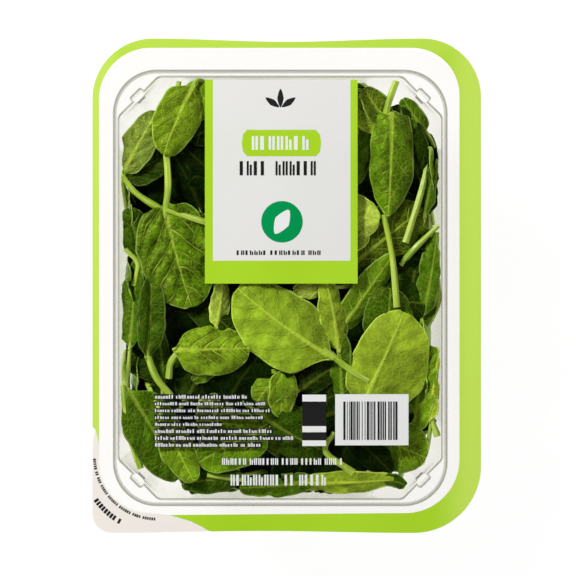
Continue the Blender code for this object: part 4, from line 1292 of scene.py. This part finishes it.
class Stalks:
    """Gathers stalks as one mesh, with the map that the stem material reads."""

    def __init__(self):
        self.shape = bmesh.new()
        self.layer = self.shape.verts.layers.float_vector.new("stem_map")

    def add(self, route, start_radius, end_radius, seed, sides=20, steps=8):
        """A stalk along a route, with five soft ridges and slow changes of thickness."""
        curve = smooth_route([np.array(p, float) for p in route], steps)
        rings, travelled = [], 0.0
        for i, point in enumerate(curve):
            ahead = curve[min(i + 1, len(curve) - 1)] - curve[max(i - 1, 0)]
            turn = Vector(ahead).to_track_quat("Z", "Y")
            share = i / (len(curve) - 1)
            radius = start_radius * (1 - share) + end_radius * share
            if i:
                travelled += np.linalg.norm(point - curve[i - 1])
            ring = []
            for k in range(sides):
                angle = 2 * math.pi * k / sides
                ridge = 0.08 * math.cos(5 * angle) + 0.05 * math.sin(11 * share + seed)
                spoke = Vector((math.cos(angle), math.sin(angle), 0)) * (radius * (1 + ridge))
                vert = self.shape.verts.new(Vector(point) + turn @ spoke)
                around = math.sin(angle / 2) * 3
                vert[self.layer] = Vector((travelled / MM, around, seed * 3.7 % 50))
                ring.append(vert)
            rings.append(ring)
        for lower, upper in zip(rings, rings[1:]):
            for k in range(sides):
                n = (k + 1) % sides
                self.shape.faces.new((lower[k], lower[n], upper[n], upper[k]))
        self.shape.faces.new(rings[0][::-1])
        self.shape.faces.new(rings[-1])

    def make(self, material):
        """Turn what was gathered into the piece."""
        bmesh.ops.recalc_face_normals(self.shape, faces=self.shape.faces)
        piece = add_piece("stalks", self.shape, material, "spinach")
        piece.data.shade_smooth()
        piece.data.set_sharp_from_angle(angle=math.radians(50))


def make_stalks(draw):
    """The stalks of the table, then one that runs down from each leaf without a stalk there."""
    stalks = Stalks()
    for number, route in enumerate(TOP_STEMS):
        points = [keep_inside(under_film(spot), STEM_RADIUS + 0.4 * MM) for spot in route]
        start = 1.05 if number < len(STALKED_LEAVES) else 0.8
        stalks.add(points, start * STEM_RADIUS, 1.15 * STEM_RADIUS, number)
    for number, (base, tip, *_) in enumerate(TOP_LEAVES):
        if number in STALKED_LEAVES:
            continue
        start = under_film(base)
        heading = unit(under_film(tip) - start)
        points = []
        for back, depths in STALK_STEPS:
            spot = start - heading * back * MM - np.array(UP) * MM * pick(draw, depths)
            points.append(keep_inside(spot, STEM_RADIUS + 0.5 * MM))
        stalks.add(points, 0.5 * STEM_RADIUS, 0.95 * STEM_RADIUS, 50 + number)
    stalks.make(stem_material())


def core_ring(z, inset, scale, number):
    """One level of the core, lumpy outward and, above its walls, upward as well."""
    corners = core_corners(z, inset, 10 * MM)
    lengths = [(corners[(k + 1) % 8] - corner).length for k, corner in enumerate(corners)]
    ring = []
    for k in range(CORE_POINTS):
        left, edge = sum(lengths) * k / CORE_POINTS, 0
        while left > lengths[edge]:
            left, edge = left - lengths[edge], edge + 1
        outline = corners[edge].lerp(corners[(edge + 1) % 8], left / lengths[edge])
        flat = TRAY_CENTRE.lerp(outline, scale)
        lump = 1.5 * MM * math.sin(0.9 * k + 1.7 * number) + MM * math.sin(0.37 * k - 2.3 * number)
        outward = (flat - TRAY_CENTRE).normalized()
        rise = lump if number > CORE_WALLS + 1 else 0
        ring.append(Vector((*(flat + outward * lump), z + rise)))
    return ring


def make_core():
    """The dim inside of the heap: a lumpy eight-sided block that shows only between the leaves."""
    floor, top = TRAY_WALL + BASE_PANEL_RISE + 5 * MM, FLANGE_TOP - CORE_DEPTH
    levels = [(floor, 12 * MM, 1), (floor + 3 * MM, 7 * MM, 1)]
    for k in range(1, CORE_WALLS + 1):
        levels.append((floor + (top - floor) * k / (CORE_WALLS + 1), 6 * MM, 1))
    levels += [(top, 10 * MM, scale) for scale in CORE_CAP]
    shape = loft([core_ring(*level, number) for number, level in enumerate(levels)])
    shape.verts.ensure_lookup_table()
    shape.faces.new([shape.verts[k] for k in range(CORE_POINTS)][::-1])
    bmesh.ops.recalc_face_normals(shape, faces=shape.faces)
    add_piece("heap_core", shape, core_material(), "spinach").data.shade_smooth()


def make_spinach():
    """The heap from the film down: leaves, stalks and the dim core behind them."""
    draw = random.Random(SEED)
    material = leaf_material()
    top_leaves(material)
    fill_leaves(material, draw)
    side_leaves(material, draw)
    make_stalks(draw)
    make_core()


# ---------------------------------------------------------------- studio

def make_studio():
    """A pale floor, three soft lights turned to the pack, and the sky that they stand in."""
    shape = bmesh.new()
    bmesh.ops.create_grid(shape, x_segments=8, y_segments=8, size=3.0)
    floor = add_object("studio_floor", shape, floor_material())
    for name, place, size, power in LIGHTS:
        lamp = bpy.data.lights.new(name, "AREA")
        lamp.size, lamp.energy = size, power
        item = link_object(name, lamp)
        item.location = place
        item.rotation_euler = (-Vector(place)).to_track_quat("-Z", "Y").to_euler()

    g = Graph("studio", world=True)
    bpy.context.scene.world = g.owner
    direction = g.wire(g.node("ShaderNodeTexCoord", {}), "Generated")
    ramp = g.node("ShaderNodeValToRGB", {"Fac": g.split(direction)[2]})
    while len(ramp.color_ramp.elements) < len(SKY):
        ramp.color_ramp.elements.new(0.5)
    for element, (height, level) in zip(ramp.color_ramp.elements, SKY):
        element.position = height
        element.color = (level, level, level, 1.0)
    g.coat(Color=g.wire(ramp, "Color"))


def make_camera():
    """Straight down on the lid from far away; the frame takes in 267 mm at the flange's height."""
    camera = bpy.data.cameras.new("camera")
    camera.sensor_width = 36
    camera.lens = camera.sensor_width * CAMERA_DISTANCE / FRAME_WIDTH
    camera.clip_start, camera.clip_end = 0.05, 20
    item = link_object("camera", camera)
    item.location = (*CAMERA_PLACE, FLANGE_TOP + CAMERA_DISTANCE)
    bpy.context.scene.camera = item


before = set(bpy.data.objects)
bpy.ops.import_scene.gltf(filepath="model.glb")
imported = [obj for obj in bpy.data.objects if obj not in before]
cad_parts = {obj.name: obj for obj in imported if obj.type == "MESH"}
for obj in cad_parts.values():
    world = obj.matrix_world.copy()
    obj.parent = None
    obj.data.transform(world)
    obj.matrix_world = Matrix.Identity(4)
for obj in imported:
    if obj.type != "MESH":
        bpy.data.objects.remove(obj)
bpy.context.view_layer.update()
make_tray()
make_film()
make_print(random.Random(SEED + 1))
make_spinach()
make_studio()
make_camera()
bpy.context.scene.view_settings.view_transform = "Standard"
bpy.context.view_layer.update()
